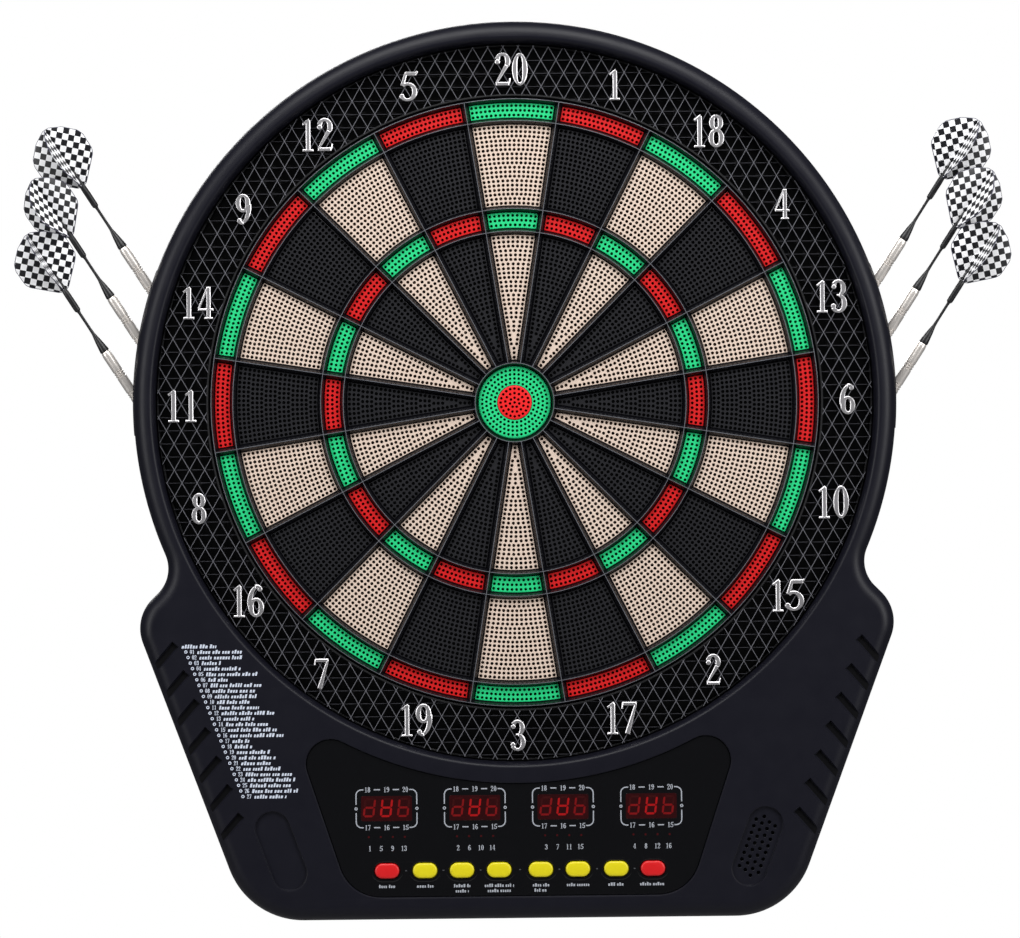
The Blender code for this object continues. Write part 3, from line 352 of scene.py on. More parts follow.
def finished(mesh, *finishes):
    """A mesh with these surfaces in its material slots."""
    mesh.materials.clear()
    for finish in finishes:
        mesh.materials.append(finish)
    return mesh


def piece(name, mesh, finish, slot, body, *nodes, place=None):
    """A finished piece on its body, standing for the CAD nodes named."""
    obj = linked(name, mesh)
    if place is not None:
        obj.matrix_world = place
    if not mesh.materials:
        mesh.materials.append(finish)
    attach(obj, body)
    if nodes:
        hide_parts(*nodes)
    return obj


def weighted(obj):
    """Keeps wide flat faces flat where they meet a rounded edge."""
    normals = obj.modifiers.new("flat_faces", "WEIGHTED_NORMAL")
    normals.keep_sharp = True
    return obj


def arc(centre, radius, start, end, steps):
    """Points on an arc, its angles in radians counted from +X towards up."""
    angles = [start + (end - start) * i / steps for i in range(steps + 1)]
    return [(centre[0] + radius * math.cos(a), centre[1] + radius * math.sin(a)) for a in angles]


def circle(radius, steps=128, x=0.0, z=0.0, start=0.0):
    """A circle that runs clockwise from the top, or from another bearing."""
    bearings = [start + math.tau * i / steps for i in range(steps)]
    return [(x + radius * math.sin(b), z + radius * math.cos(b)) for b in bearings]


def stadium(length, width, x=0.0, z=0.0, degrees=0.0, steps=14):
    """A slot with round ends, whose long axis is turned from +X."""
    r, half = width / 2, (length - width) / 2
    points = arc((half, 0), r, -math.pi / 2, math.pi / 2, steps)
    points += arc((-half, 0), r, math.pi / 2, 1.5 * math.pi, steps)
    return turned(points, degrees, x, z)


def turned(points, degrees, x=0.0, z=0.0):
    """Points turned about the origin, then moved."""
    turn = Matrix.Rotation(math.radians(degrees), 2)
    return [tuple(turn @ Vector(p) + Vector((x, z))) for p in points]


def rounded(corners, radius, steps=5):
    """A polygon whose corners are rounded off by a curve that starts this far from each."""
    loop = []
    for i, corner in enumerate(corners):
        here = Vector(corner)
        last, following = Vector(corners[i - 1]) - here, Vector(corners[(i + 1) % len(corners)]) - here
        reach = min(radius, last.length * 0.49, following.length * 0.49)
        start, end = here + last.normalized() * reach, here + following.normalized() * reach
        for k in range(steps + 1):
            t = k / steps
            loop.append(tuple(start * (1 - t) ** 2 + here * 2 * t * (1 - t) + end * t * t))
    return loop


def box_corners(width, height, x=0.0, z=0.0):
    return [(x + i * width / 2, z + j * height / 2) for i, j in ((-1, -1), (1, -1), (1, 1), (-1, 1))]


def rounded_box(width, height, radius, x=0.0, z=0.0):
    return rounded(box_corners(width, height, x, z), radius)


def mirrored(loop):
    return [(-x, z) for x, z in reversed(loop)]


def quarter_round(radius, front, steps=8, inset=0.0):
    """Profile points from a side up to a flat front: (inset, depth)."""
    angles = [math.pi / 2 * i / steps for i in range(steps + 1)]
    return [(inset + radius * (1 - math.cos(a)), front - radius * (1 - math.sin(a))) for a in angles]


def lathe(profile, steps):
    """A closed profile of (radius, depth) points turned round the board's axis."""
    shell = Shell()
    rings = [shell.ring(circle(r, steps), d) for r, d in profile]
    shell.skin(*rings, rings[0])
    return shell


def band(r_in, r_out, low, high, steps):
    """The outline between two radii and two bearings in degrees."""
    start, end = math.radians(low), math.radians(high)
    return arc((0, 0), r_in, start, end, steps) + arc((0, 0), r_out, end, start, steps)


def booleaned(mesh, others, operation="DIFFERENCE", sharp=30):
    """A mesh less the others, or united with them, tidied."""
    obj = linked("booleaned", mesh)
    helpers = [linked("helper", other) for other in others]
    for helper in helpers:
        modifier = obj.modifiers.new("boolean", "BOOLEAN")
        modifier.operation = operation
        modifier.object = helper
    bpy.context.view_layer.update()
    made = bpy.data.meshes.new_from_object(obj.evaluated_get(bpy.context.evaluated_depsgraph_get()))
    for helper in (obj, *helpers):
        bpy.data.objects.remove(helper)
    return tidied(made, sharp=sharp)


def united(meshes):
    """Several closed meshes joined into one body."""
    return booleaned(meshes[0], meshes[1:], "UNION", sharp=20)


def joined(*meshes):
    """Meshes gathered into the first one."""
    shape = bmesh.new()
    for mesh in meshes:
        shape.from_mesh(mesh)
    shape.to_mesh(meshes[0])
    shape.free()
    return tidied(meshes[0])


def prisms(loops, back, front, chamfer=0.0):
    """Plates that share two depths, with an optional chamfer round the front."""
    shell = Shell()
    for loop in loops:
        rings = [shell.ring(loop, back), shell.ring(loop, front - chamfer)]
        if chamfer:
            rings.append(shell.ring(shrunk(loop, chamfer), front))
        shell.block(*rings)
    return shell


def shrunk(loop, amount):
    """A convex outline moved inwards."""
    points = [Vector(p) for p in loop]
    sides = [(b - a).normalized() for a, b in zip(points, points[1:] + points[:1])]
    moved = []
    spin = 1 if sum(a.cross(b) for a, b in zip(sides, sides[1:])) > 0 else -1
    for i, p in enumerate(points):
        before, after = sides[i - 1], sides[i]
        inward = Vector((-(before + after).y, (before + after).x)) * spin
        reach = amount / max(0.3, inward.normalized().dot(Vector((-after.y, after.x)) * spin))
        moved.append(tuple(p + inward.normalized() * reach))
    return moved


# ---- casing ----------------------------------------------------------------------------------------


def casing_loop(inset=0.0):
    """The casing's outline, moved inwards: arcs and straights from the top, mirrored at x = 0."""
    head, waist = HEAD_R - inset, WAIST_R + inset
    shoulder, corner = SHOULDER_R - inset, CORNER_R - inset
    leave = math.radians(WAIST_START_DEG)
    line, flank = math.radians(SHOULDER_LINE_DEG), math.radians(FLANK_DEG)
    half = arc((0, 0), head, math.pi / 2, -leave, 84)
    centre = ((HEAD_R + WAIST_R) * math.cos(leave), -(HEAD_R + WAIST_R) * math.sin(leave))
    half += arc(centre, waist, math.pi - leave, math.pi + line, 16)[1:]
    reach = WAIST_R + SHOULDER_R
    centre = (centre[0] - reach * math.cos(line) + SHOULDER_LINE * math.sin(line),
              centre[1] - reach * math.sin(line) - SHOULDER_LINE * math.cos(line))
    half += arc(centre, shoulder, line, -flank, 16)
    drop = centre[1] - (BOTTOM_Z + CORNER_R)
    centre = (centre[0] + (SHOULDER_R - CORNER_R) / math.cos(flank) - drop * math.tan(flank),
              BOTTOM_Z + CORNER_R)
    half += arc(centre, corner, -flank, -math.pi / 2, 20)
    return half + mirrored(half[1:])


def fascia_loop(grow=0.0):
    """The control panel's outline: its top edge runs round the target, its sides lean like the casing's."""
    lean = math.radians(FASCIA_SIDE_DEG)
    top_r, low_r = FASCIA_TOP_CORNER_R + grow, FASCIA_BOTTOM_CORNER_R + grow
    outward = Vector((math.cos(lean), -math.sin(lean)))
    along = Vector((math.sin(lean), math.cos(lean)))
    side = Vector(FASCIA_SIDE)
    low = side - outward * FASCIA_BOTTOM_CORNER_R
    low += along * ((FASCIA_BOTTOM_Z + FASCIA_BOTTOM_CORNER_R - low.y) / along.y)
    base = side - outward * FASCIA_TOP_CORNER_R
    reach = FASCIA_TOP_R + FASCIA_TOP_CORNER_R
    middle = base.dot(along)
    top = base + along * (-middle - math.sqrt(middle * middle - base.length_squared + reach * reach))
    bearing = math.atan2(top.y, top.x)
    half = arc(tuple(low), low_r, -math.pi / 2, -lean, 12)
    half += arc(tuple(top), top_r, -lean, bearing + math.pi, 14)
    half += arc((0, 0), FASCIA_TOP_R - grow, bearing, -math.pi / 2, 20)[1:]
    return half + mirrored(half[:-1])


def oval_loop(side, grow=0.0):
    x, z = OVAL_CENTRE
    length, width = OVAL_LENGTH + 2 * grow, OVAL_WIDTH + 2 * grow
    return stadium(length, width, side * x, z, 90 - side * FLANK_DEG)


def grille_holes():
    """The speaker's round holes: four staggered columns along the right oval."""
    spots = []
    for column in range(4):
        rows = 9 if column in (1, 2) else 8
        for row in range(rows):
            shift = 0.5 if column % 2 else 0.0
            up = (row - (rows - 1) / 2 + (shift - 0.25 if rows == 9 else 0)) * GRILLE_PITCH
            spots.append(((column - 1.5) * GRILLE_PITCH * 0.95, up))
    return turned(spots, -FLANK_DEG, *OVAL_CENTRE)


def groove_cutters():
    """The slanted grooves of both flanks, wider at the top than at the floor."""
    shell = Shell()
    steps = ((-GROOVE_FLARE, FRONT - GROOVE_DEPTH), (0.0, FRONT - 1.5 * MM), (GROOVE_FLARE, FRONT + 1 * MM))
    for index in range(GROOVES):
        x, z = (start + index * step for start, step in zip(GROOVE_START, GROOVE_STEP))
        for flip in (False, True):
            rings = []
            for grow, depth in steps:
                bar = box_corners(GROOVE_LENGTH + 2 * grow, GROOVE_WIDTH + 2 * grow, GROOVE_LENGTH / 2)
                loop = turned(bar, GROOVE_DEG, x, z)
                rings.append(shell.ring(mirrored(loop) if flip else loop, depth))
            shell.solid(*rings)
    return shell.mesh("grooves")


def rack_slot_cutters():
    """The slots in the casing's sides that the dart racks stand through."""
    shell = Shell()
    for flip in (False, True):
        loop = band(*RACK_SLOT, 12)
        loop = mirrored(loop) if flip else loop
        shell.block(*(shell.ring(loop, depth) for depth in RACK_SLOT_DEPTHS))
    return shell.mesh("rack_slots")


def jack_hole_cutter():
    """The hole for the adapter's plug, bored upwards: ring() sets it out lying down."""
    shell = Shell()
    x, bottom, depth = JACK_PLACE
    loop = circle(JACK_HOLE_R, 32, x, depth)
    shell.solid(shell.ring(loop, bottom - 5 * MM), shell.ring(loop, bottom + 8 * MM))
    shell.points = [(x, up, depth) for x, depth, up in shell.points]
    return shell.mesh("jack_hole")


def casing():
    """The front housing: one moulded shell with the target's opening, the panel's pocket, an oval pocket on
    each side, slanted grooves, the jack's hole and the racks' slots."""
    shell = Shell()
    inner_front = FRONT - FRONT_WALL
    side = [(0, SKIRT_BACK), (0, 12 * MM), (0, 20 * MM)]
    outside = shell.loft(casing_loop, side + quarter_round(EDGE_R, FRONT, 10))
    inside = shell.loft(casing_loop, [(WALL, SKIRT_BACK)] + quarter_round(EDGE_R - WALL, inner_front, 5, WALL))
    shell.skin(outside[0], inside[0])
    lip = [shell.ring(circle(r * MM, 240), d * MM) for r, d in OPENING_LIP]
    shell.skin(*lip)
    pocket = shell.loft(fascia_loop, [(0.8 * MM, FRONT), (0.3 * MM, FRONT - 0.2 * MM), (0, FRONT - 0.7 * MM),
                                      (0, FASCIA_BACK - 0.3 * MM), (-5 * MM, FASCIA_BACK - 0.3 * MM),
                                      (-5 * MM, 28.1 * MM), (2.2 * MM, 28.1 * MM), (2.2 * MM, inner_front)])
    floor = FRONT - OVAL_DEPTH
    oval_steps = ((0.5 * MM, FRONT), (0.15 * MM, FRONT - 0.15 * MM), (0, FRONT - 0.5 * MM),
                  (0, floor + 0.5 * MM), (-0.15 * MM, floor + 0.15 * MM), (-0.5 * MM, floor))
    ovals = []
    for side in (1, -1):
        rings = [shell.ring(oval_loop(side, grow), depth) for grow, depth in oval_steps]
        shell.skin(*rings)
        ovals.append(rings)
    grille = []
    for x, z in grille_holes():
        rings = [shell.ring(circle(r, 14, x, z), d) for r, d in
                 ((GRILLE_R + 0.25 * MM, floor), (GRILLE_R, floor - 0.25 * MM), (GRILLE_R, inner_front))]
        shell.skin(*rings)
        grille.append(rings)
    shell.fill(ovals[0][-1], *(rings[0] for rings in grille))
    shell.fill(ovals[1][-1])
    shell.fill(outside[-1], lip[0], pocket[0], ovals[0][0], ovals[1][0])
    shell.fill(inside[-1], lip[-1], pocket[-1], *(rings[-1] for rings in grille))
    cutters = [groove_cutters(), rack_slot_cutters(), jack_hole_cutter()]
    mesh = finished(booleaned(shell.mesh("casing"), cutters), HOUSING, GROOVE_PAINTED_SHADE)
    # The grooves' front-facing floors take the near-black painted shade.
    floor_depth = FRONT - GROOVE_DEPTH
    for face in mesh.polygons:
        face.material_index = int(abs(face.center.y + floor_depth) < 0.02 * MM)
    weighted(piece("front_shell", mesh, HOUSING, "housing_black", "board", "front_housing"))


# ---- target ----------------------------------------------------------------------------------------


def cell(r_in, r_out, side, end=0.0, turn=0.0):
    """The outline of one number's part of a ring. It keeps one distance from the dividing lines and another
    from the two rings."""
    loop = []
    for radius, order in ((r_in + end, 1), (r_out - end, -1)):
        reach = SECTOR / 2 - math.asin(side / radius)
        bearings = [turn + reach * (2 * i / ARC_STEPS - 1) for i in range(ARC_STEPS + 1)]
        loop += [(radius * math.sin(b), radius * math.cos(b)) for b in bearings[::order]]
    return loop


def spider():
    """The web: every wall is a steep glossy wedge with a rounded crest. Cells share their crests' points."""
    shell = Shell()
    wedge = ((0.0, 0.0, SPIDER_FRONT), (0.17 * MM, 0.17 * MM, SPIDER_FRONT - 0.05 * MM),
             (0.32 * MM, 0.32 * MM, SPIDER_FRONT - 0.3 * MM), (WEB_SIDE, WEB_END, KEY_FRONT - 0.2 * MM),
             (WEB_SIDE, WEB_END, SPIDER_BACK))
    undersides = []
    for index in range(len(NUMBERS)):
        for inner, outer in zip(RINGS, RINGS[1:]):
            rings = [shell.ring(cell(inner, outer, side, end, index * SECTOR), depth)
                     for side, end, depth in wedge]
            shell.skin(*rings)
            undersides.append(rings[-1])
    steps = ARC_STEPS * len(NUMBERS)
    bull = [shell.ring(circle(RINGS[0] - min(end, BULL_WEB_END), steps, start=SECTOR / 2), depth)
            for _, end, depth in wedge]
    shell.skin(*bull)
    crest = RINGS[-1]
    outside = [(crest, SPIDER_FRONT), (crest + 0.16 * MM, SPIDER_FRONT - 0.05 * MM),
               (crest + 0.34 * MM, SPIDER_FRONT - 0.32 * MM), (crest + 1.2 * MM, SPIDER_FRONT - 2.4 * MM),
               (crest + 1.2 * MM, RIM_FRONT), (RIM_R, RIM_FRONT)]
    rim = [shell.ring(circle(r, steps, start=SECTOR / 2), d) for r, d in outside]
    for radius in (RIM_R, RIM_IN_R):
        loop = circle(radius, steps, start=SECTOR / 2)
        low, high = CABLE_SPAN
        depths = [RIM_BACK_CABLE if low < x < high and z < 0 else RIM_BACK for x, z in loop]
        rim.append(shell.ring(loop, depths))
    rim.append(shell.ring(circle(RIM_IN_R, steps, start=SECTOR / 2), SPIDER_BACK))
    shell.skin(*rim)
    shell.fill(rim[-1], bull[-1], *undersides)
    mesh = finished(shell.mesh("spider_web", weld=0.002 * MM, sharp=40), SPIDER, CREST_PAINTED_HIGHLIGHT)
    # The crest's front faces take the light grey painted highlight.
    for face in mesh.polygons:
        face.material_index = int(face.center.y < -(SPIDER_FRONT - 0.1 * MM))
    weighted(piece("spider_web", mesh, SPIDER, "spider_black", "board", "spider"))


def perforate(shell, depth, centres, radius, *outlines):
    """Fills a flat face inside the first outline and outside the others, with blind countersunk holes."""
    mouths, narrow = [], HOLE_TAPER * radius
    for x, z in centres:
        rings = [shell.ring(circle(r, HOLE_SIDES, x, z), d) for r, d in
                 ((radius, depth), (narrow, depth - HOLE_SINK), (narrow, depth - HOLE_DEPTH))]
        shell.skin(*rings)
        shell.cap(rings[-1])
        mouths.append(rings[0])
    shell.fill(*outlines, *mouths)


def hole_rows(inner, outer):
    """Holes in arcs, spread evenly over each arc."""
    spots = []
    room = outer - inner - 2 * (KEY_END + HOLE_MARGIN)
    rows = int(room / HOLE_PITCH) + 1
    pitch = min(HOLE_ROW_MAX, room / (rows - 1))
    for row in range(rows):
        radius = (inner + outer) / 2 + (row - (rows - 1) / 2) * pitch
        reach = SECTOR / 2 - math.asin((KEY_SIDE + HOLE_MARGIN) / radius)
        columns = int(2 * reach * radius / HOLE_PITCH) + 1
        for i in range(columns):
            bearing = reach * (2 * i / (columns - 1) - 1) if columns > 1 else 0.0
            spots.append((radius * math.sin(bearing), radius * math.cos(bearing)))
    return spots


KEY_EDGE = ((0.0, -0.7), (0.04, -0.3), (0.14, -0.09), (0.32, 0.0))  # inset and rise in mm at a key's edge


def key(shell, ring):
    """One key between two rings, with softly rounded front edges and its field of dart holes."""
    inner, outer = RINGS[ring], RINGS[ring + 1]
    profile = [(0, CARRIER_FRONT - 0.8 * MM)]
    profile += [(inset * MM, KEY_FRONT + rise * MM) for inset, rise in KEY_EDGE]
    rings = shell.loft(lambda inset: cell(inner, outer, KEY_SIDE + inset, KEY_END + inset), profile)
    shell.fill(rings[0])
    perforate(shell, KEY_FRONT, hole_rows(inner, outer), RING_HOLE_R if ring % 2 else HOLE_R, rings[-1])


def sector_keys():
    """Each number's keys as two pieces: its two large singles on the carrier, and its triple and double."""
    singles, rings = Shell(), Shell()
    carrier = cell(RINGS[0], RINGS[-1], 0.5 * MM, 2.2 * MM)
    singles.block(*(singles.ring(carrier, depth) for depth in (KEY_BACK, CARRIER_FRONT)))
    for shell, ring in ((singles, 0), (rings, 1), (singles, 2), (rings, 3)):
        key(shell, ring)
    looks = (("segment_beige", BEIGE, "segment_green", GREEN), ("segment_black", BLACK, "segment_red", RED))
    meshes = []
    for slot, finish, ring_slot, ring_finish in looks:
        meshes.append((finished(singles.mesh(f"singles_{slot}"), finish),
                       finished(rings.mesh(f"rings_{ring_slot}"), ring_finish)))
    for index, number in enumerate(NUMBERS):
        slot, _, ring_slot, _ = looks[index % 2]
        place = Matrix.Rotation(index * SECTOR, 4, "Y")
        body = f"sector_{number}"
        for mesh, kind, named in zip(meshes[index % 2], ("singles", "rings"), (slot, ring_slot)):
            piece(f"{body}_{kind}", mesh, None, named, body, body, place=place)


def hole_circles(radii):
    """Holes in whole circles round the bull, the same distance apart."""
    spots = []
    for radius in radii:
        spots += circle(radius, max(1, round(math.tau * radius / HOLE_PITCH)))
    return spots


def bull_keys():
    """The red inner key, and the green outer one with a plain sloping band round its holes."""
    outer = Shell()
    face_r, edge_r = 20.5 * MM, RINGS[0] - BULL_KEY_END
    bore_r, step_r, flange_r = INNER_BULL_R + 0.3 * MM, INNER_BULL_R + 0.3 * MM + 2 * MM, RINGS[0] + 1.1 * MM
    profile = [(bore_r, KEY_FRONT), (bore_r, CARRIER_FRONT + 1.5 * MM), (step_r, CARRIER_FRONT + 1.5 * MM),
               (step_r, KEY_BACK), (flange_r, KEY_BACK), (flange_r, CARRIER_FRONT), (edge_r, CARRIER_FRONT),
               (edge_r, KEY_FRONT - 1.2 * MM), (edge_r - 0.1 * MM, KEY_FRONT - 0.7 * MM),
               (face_r + 0.25 * MM, KEY_FRONT - 0.12 * MM), (face_r, KEY_FRONT)]
    rings = [outer.ring(circle(r, 96), d) for r, d in profile]
    outer.skin(*rings)
    perforate(outer, KEY_FRONT, hole_circles([r * MM for r in (11.6, 14.05, 16.5, 18.95)]), BULL_HOLE_R,
              rings[-1], rings[0])
    outer.piece("outer_bull_key", GREEN, "segment_green", "outer_bull", "outer_bull")
    inner = Shell()
    flange_r = INNER_BULL_R + 2 * MM
    profile = [(flange_r, KEY_BACK), (flange_r, CARRIER_FRONT), (INNER_BULL_R, CARRIER_FRONT)]
    profile += [(INNER_BULL_R - inset * MM, KEY_FRONT + rise * MM) for inset, rise in KEY_EDGE]
    rings = [inner.ring(circle(r, 72), d) for r, d in profile]
    inner.skin(*rings)
    inner.cap(rings[0])
    centres = [(0.0, 0.0)] + hole_circles([r * MM for r in (2.75, 5.45, 8.15)])
    perforate(inner, KEY_FRONT, centres, BULL_HOLE_R, rings[-1])
    inner.piece("inner_bull_key", BULL_RED, "segment_red", "inner_bull", "inner_bull")


# ---- catch ring and numbers ------------------------------------------------------------------------


def lattice_bars(shell):
    """Thin ribs along three directions between the ring's walls."""
    r_in, r_out = RING_IN_R + RING_WALL / 2, RING_OUT_R - RING_WALL / 2
    spacing = LATTICE_SIDE * math.sqrt(3) / 2
    for family, degrees in enumerate((0.0, 60.0, 120.0)):
        along = Vector((1, 0))
        along.rotate(Matrix.Rotation(math.radians(degrees), 2))
        across = Vector((-along.y, along.x))
        base = Vector(LATTICE_NODE).dot(across) % spacing
        top = RING_FRONT - (LEVEL_RIB_DROP if family == 0 else family * TOUCH)
        lines = int(r_out / spacing) + 1
        for offset in (base + i * spacing for i in range(-lines, lines + 1)):
            if abs(offset) > r_out - 1.5 * MM:
                continue
            far = math.sqrt(r_out ** 2 - offset ** 2)
            near = math.sqrt(max(0.0, r_in ** 2 - offset ** 2))
            spans = ((near, far), (-far, -near)) if near else ((-far, far),)
            for start, end in spans:
                rib(shell, along * start + across * offset, along * end + across * offset, across, top)


def rib(shell, start, end, across, top):
    """A bar with chamfered top edges, from the channel's floor up."""
    section = ((-1.15, -6.0), (-1.0, -0.3), (-0.75, 0.0), (0.75, 0.0), (1.0, -0.3), (1.15, -6.0))
    rings = []
    for point in (start, end):
        first = len(shell.points)
        for side, rise in section:
            spot = point + across * side * LATTICE_HALF_RIB
            shell.points.append((spot.x, spot.y, top + rise * MM))
        rings.append(list(range(first, len(shell.points))))
    shell.solid(*rings)


def catch_ring():
    """A black channel round the target, its mouth covered by an open triangular lattice."""
    r_in, r_out, chamfer = RING_IN_R, RING_OUT_R, 0.3 * MM
    in_wall, out_wall, out_top = r_in + RING_WALL, r_out - RING_WALL, RING_FRONT - 3 * MM
    walls = lathe([(r_in, RING_BACK), (RING_FLANGE_R, RING_BACK), (RING_FLANGE_R, RING_FLOOR),
                   (r_out, RING_FLOOR), (r_out, RING_FRONT - 3.3 * MM), (r_out - chamfer, out_top),
                   (out_wall + chamfer, out_top), (out_wall, RING_FRONT - 3.3 * MM), (out_wall, RING_FLOOR),
                   (in_wall, RING_FLOOR), (in_wall, RING_FRONT - chamfer), (in_wall - chamfer, RING_FRONT),
                   (r_in + chamfer, RING_FRONT), (r_in, RING_FRONT - chamfer)], 240)
    walls.piece("catch_ring_channel", LATTICE, "housing_black", "board", "catch_ring")
    bars = Shell()
    lattice_bars(bars)
    mesh = finished(bars.mesh("catch_ring_lattice"), RIB_TOPS_PAINTED_HIGHLIGHT, LEVEL_RIBS_PAINTED_HIGHLIGHT, LATTICE)
    # Rib tops get the grey painted highlight, the sunk level ribs' tops the darker painted highlight, and the
    # sides the black.
    low = RING_FRONT - LEVEL_RIB_DROP
    for face in mesh.polygons:
        depth = -face.center.y
        level = low - 0.5 * MM < depth < low + 0.1 * MM
        face.material_index = 0 if depth > RING_FRONT - 0.5 * MM else 1 if level else 2
    piece("catch_ring_lattice", mesh, RIB_TOPS_PAINTED_HIGHLIGHT, "housing_black", "board", "catch_ring")


# Numerals on a body 10 wide and 20 high, centred: straight strokes (x, z, x, z, width, end width), bows round
# an ellipse (x, z, half width, half height, from, to in degrees), whole rings and balls (x, z, radius).
NUMERALS = {
    "0": (("ring", 0, 0, 3.1, 8.9),),
    "1": (("stroke", 0.4, -9.4, 0.4, 8.9, 2.9, 2.9), ("stroke", -2.9, 6.3, 1.4, 9.0, 1.4, 2.4),
          ("stroke", -3.0, -9.2, 3.6, -9.2, 1.4, 1.4)),
    "2": (("bow", 0, 4.9, 3.2, 4.3, 165, -35), ("stroke", 2.6, 2.6, -3.9, -8.4, 2.7, 1.3),
          ("stroke", -4.2, -8.6, 4.0, -8.6, 2.2, 2.2), ("stroke", 3.9, -8.6, 4.5, -5.3, 1.0, 1.0),
          ("ball", -3.0, 4.6, 1.6)),
    "3": (("bow", -0.3, 4.9, 3.0, 4.2, 150, -80), ("bow", -0.4, -4.3, 3.6, 4.8, 85, -150),
          ("ball", -3.0, 5.6, 1.5), ("ball", -3.3, -6.0, 1.6), ("stroke", -1.4, 0.6, 0.6, 0.6, 1.1, 1.1)),
    "4": (("stroke", 1.8, -9.4, 1.8, 9.5, 2.7, 2.7), ("stroke", 1.4, 9.4, -4.3, -4.0, 1.5, 1.2),
          ("stroke", -4.6, -4.2, 4.8, -4.2, 1.5, 1.5), ("stroke", -0.9, -9.3, 4.4, -9.3, 1.1, 1.1)),
    "5": (("stroke", -2.0, 8.3, 5.2, 8.3, 2.6, 2.6), ("stroke", -1.4, 9.0, -4.0, 0.6, 2.0, 2.6),
          ("bow", -0.6, -3.3, 4.6, 5.1, 132, -155), ("ball", -4.2, -6.2, 1.7),
          ("stroke", 4.6, 7.6, 5.8, 9.9, 1.4, 1.4)),
    "6": (("ring", 0.1, -4.0, 3.1, 4.9), ("bow", 1.9, -1.4, 5.5, 10.2, 108, 190), ("ball", 2.5, 7.0, 1.5),
          ("bow", 0.6, 5.6, 2.2, 3.2, 20, 110)),
    "7": (("stroke", -4.2, 8.6, 4.4, 8.6, 2.2, 2.2), ("stroke", 3.9, 8.6, -1.4, -9.6, 1.5, 3.2),
          ("stroke", -4.0, 9.2, -4.4, 5.4, 1.0, 1.0)),
    "8": (("ring", 0, 4.9, 2.6, 4.0), ("ring", 0, -4.3, 3.1, 4.7)),
}
NUMERAL_THICK, NUMERAL_CHAMFER = 1.6, 0.5
THICK, THIN = 3.35, 2.0  # the numerals' upright and level strokes


def bow_width(angle):
    """A bowed stroke is thick where it runs upright."""
    return THIN + (THICK - THIN) * math.cos(angle) ** 2


def numeral_loops(kind, *size):
    """The outline of one stroke of a numeral, then its hole if it has one."""
    if kind == "stroke":
        x, z, x_end, z_end, width, end_width = size
        start, end = Vector((x, z)), Vector((x_end, z_end))
        side = (end - start).normalized().orthogonal() / 2
        corners = (start - side * width, end - side * end_width, end + side * end_width, start + side * width)
        return [[tuple(corner) for corner in corners]]
    if kind == "ball":
        x, z, radius = size
        return [circle(radius, 20, x, z)]
    x, z, half_width, half_height = size[:4]
    whole = kind == "ring"
    first, last = (0.0, 360.0) if whole else size[4:]
    steps = 40 if whole else 26
    angles = [math.radians(first + (last - first) * i / steps) for i in range(steps + (not whole))]
    sides = []
    for sign in (1, -1):
        sides.append([(x + (half_width + sign * bow_width(a) / 2) * math.cos(a),
                       z + (half_height + sign * bow_width(a) / 2) * math.sin(a)) for a in angles])
    return sides if whole else [sides[0] + sides[1][::-1]]


def numeral_mesh(digit):
    """One raised numeral of overlapping strokes with rounded edges, 20 units high on its own centre, its back
    at depth 0. Each stroke stands a hair over the one before, so that no two faces share a plane."""
    if digit == "9":
        mesh = numeral_mesh("6").copy()
        mesh.transform(Matrix.Rotation(math.pi, 4, "Z"))
        return mesh
    parts = []
    for stroke in NUMERALS[digit]:
        shell = Shell()
        loops = numeral_loops(*stroke)
        narrowest = min(stroke[5:]) if stroke[0] == "stroke" else THIN
        edge = min(NUMERAL_CHAMFER, 0.45 * narrowest)
        top = NUMERAL_THICK + len(parts) * 0.01
        steps = ((0.0, 0.0), (0.0, top - edge), (0.3 * edge, top - 0.35 * edge), (edge, top))
        all_rings = []
        for number, loop in enumerate(loops):
            shape = [shrunk(loop, -inset if number else inset) if inset else loop for inset, _ in steps]
            rings = [shell.ring(points, depth) for points, (_, depth) in zip(shape, steps)]
            shell.skin(*rings)
            all_rings.append(rings)
        shell.fill(*(rings[0] for rings in all_rings))
        shell.fill(*(rings[-1] for rings in all_rings))
        parts.append(shell.mesh(f"numeral_{digit}", upright=False))
    return joined(*parts)


NUMERAL_MESHES = {digit: numeral_mesh(digit) for digit in "0123456789"}
UPRIGHT = Matrix(((1, 0, 0, 0), (0, 0, -1, 0), (0, 1, 0, 0), (0, 0, 0, 1)))  # from board axes to the world's


def written(name, text, height, x, z, depth, thick, spread=10.4):
    """A number made of numerals, upright in the board's face and centred on a point."""
    shape = bmesh.new()
    scale = height / 20
    for place, digit in enumerate(text):
        numeral = NUMERAL_MESHES[digit].copy()
        numeral.transform(Matrix.Translation(((place - (len(text) - 1) / 2) * spread, 0, 0)))
        shape.from_mesh(numeral)
    size = Matrix.Diagonal((scale, scale, thick / NUMERAL_THICK, 1))
    shape.transform(UPRIGHT @ Matrix.Translation((x, z, depth)) @ size)
    made = bpy.data.meshes.new(name)
    shape.to_mesh(made)
    shape.free()
    return tidied(made, sharp=20)


def numbers():
    """The silver numbers that stand on the lattice, upright all round."""
    for index, number in enumerate(NUMBERS):
        bearing = index * SECTOR
        x, z = NUMBER_R * math.sin(bearing), NUMBER_R * math.cos(bearing)
        height = NUMBER_HEIGHT * (0.94 if number < 10 else 1.0)
        mesh = written(f"number_{number}", str(number), height, x, z, NUMBER_BASE, NUMBER_RISE)
        piece(f"number_{number}", mesh, SILVER, "steel", "board", "catch_ring")


# ---- control panel ---------------------------------------------------------------------------------


def centre_of(name):
    low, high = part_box(name)
    return (low.x + high.x) / 2, (low.z + high.z) / 2


def button_outline(x, z, grow=0.0):
    return stadium(14.2 * MM + 2 * grow, 8.7 * MM + 2 * grow, x, z, steps=12)


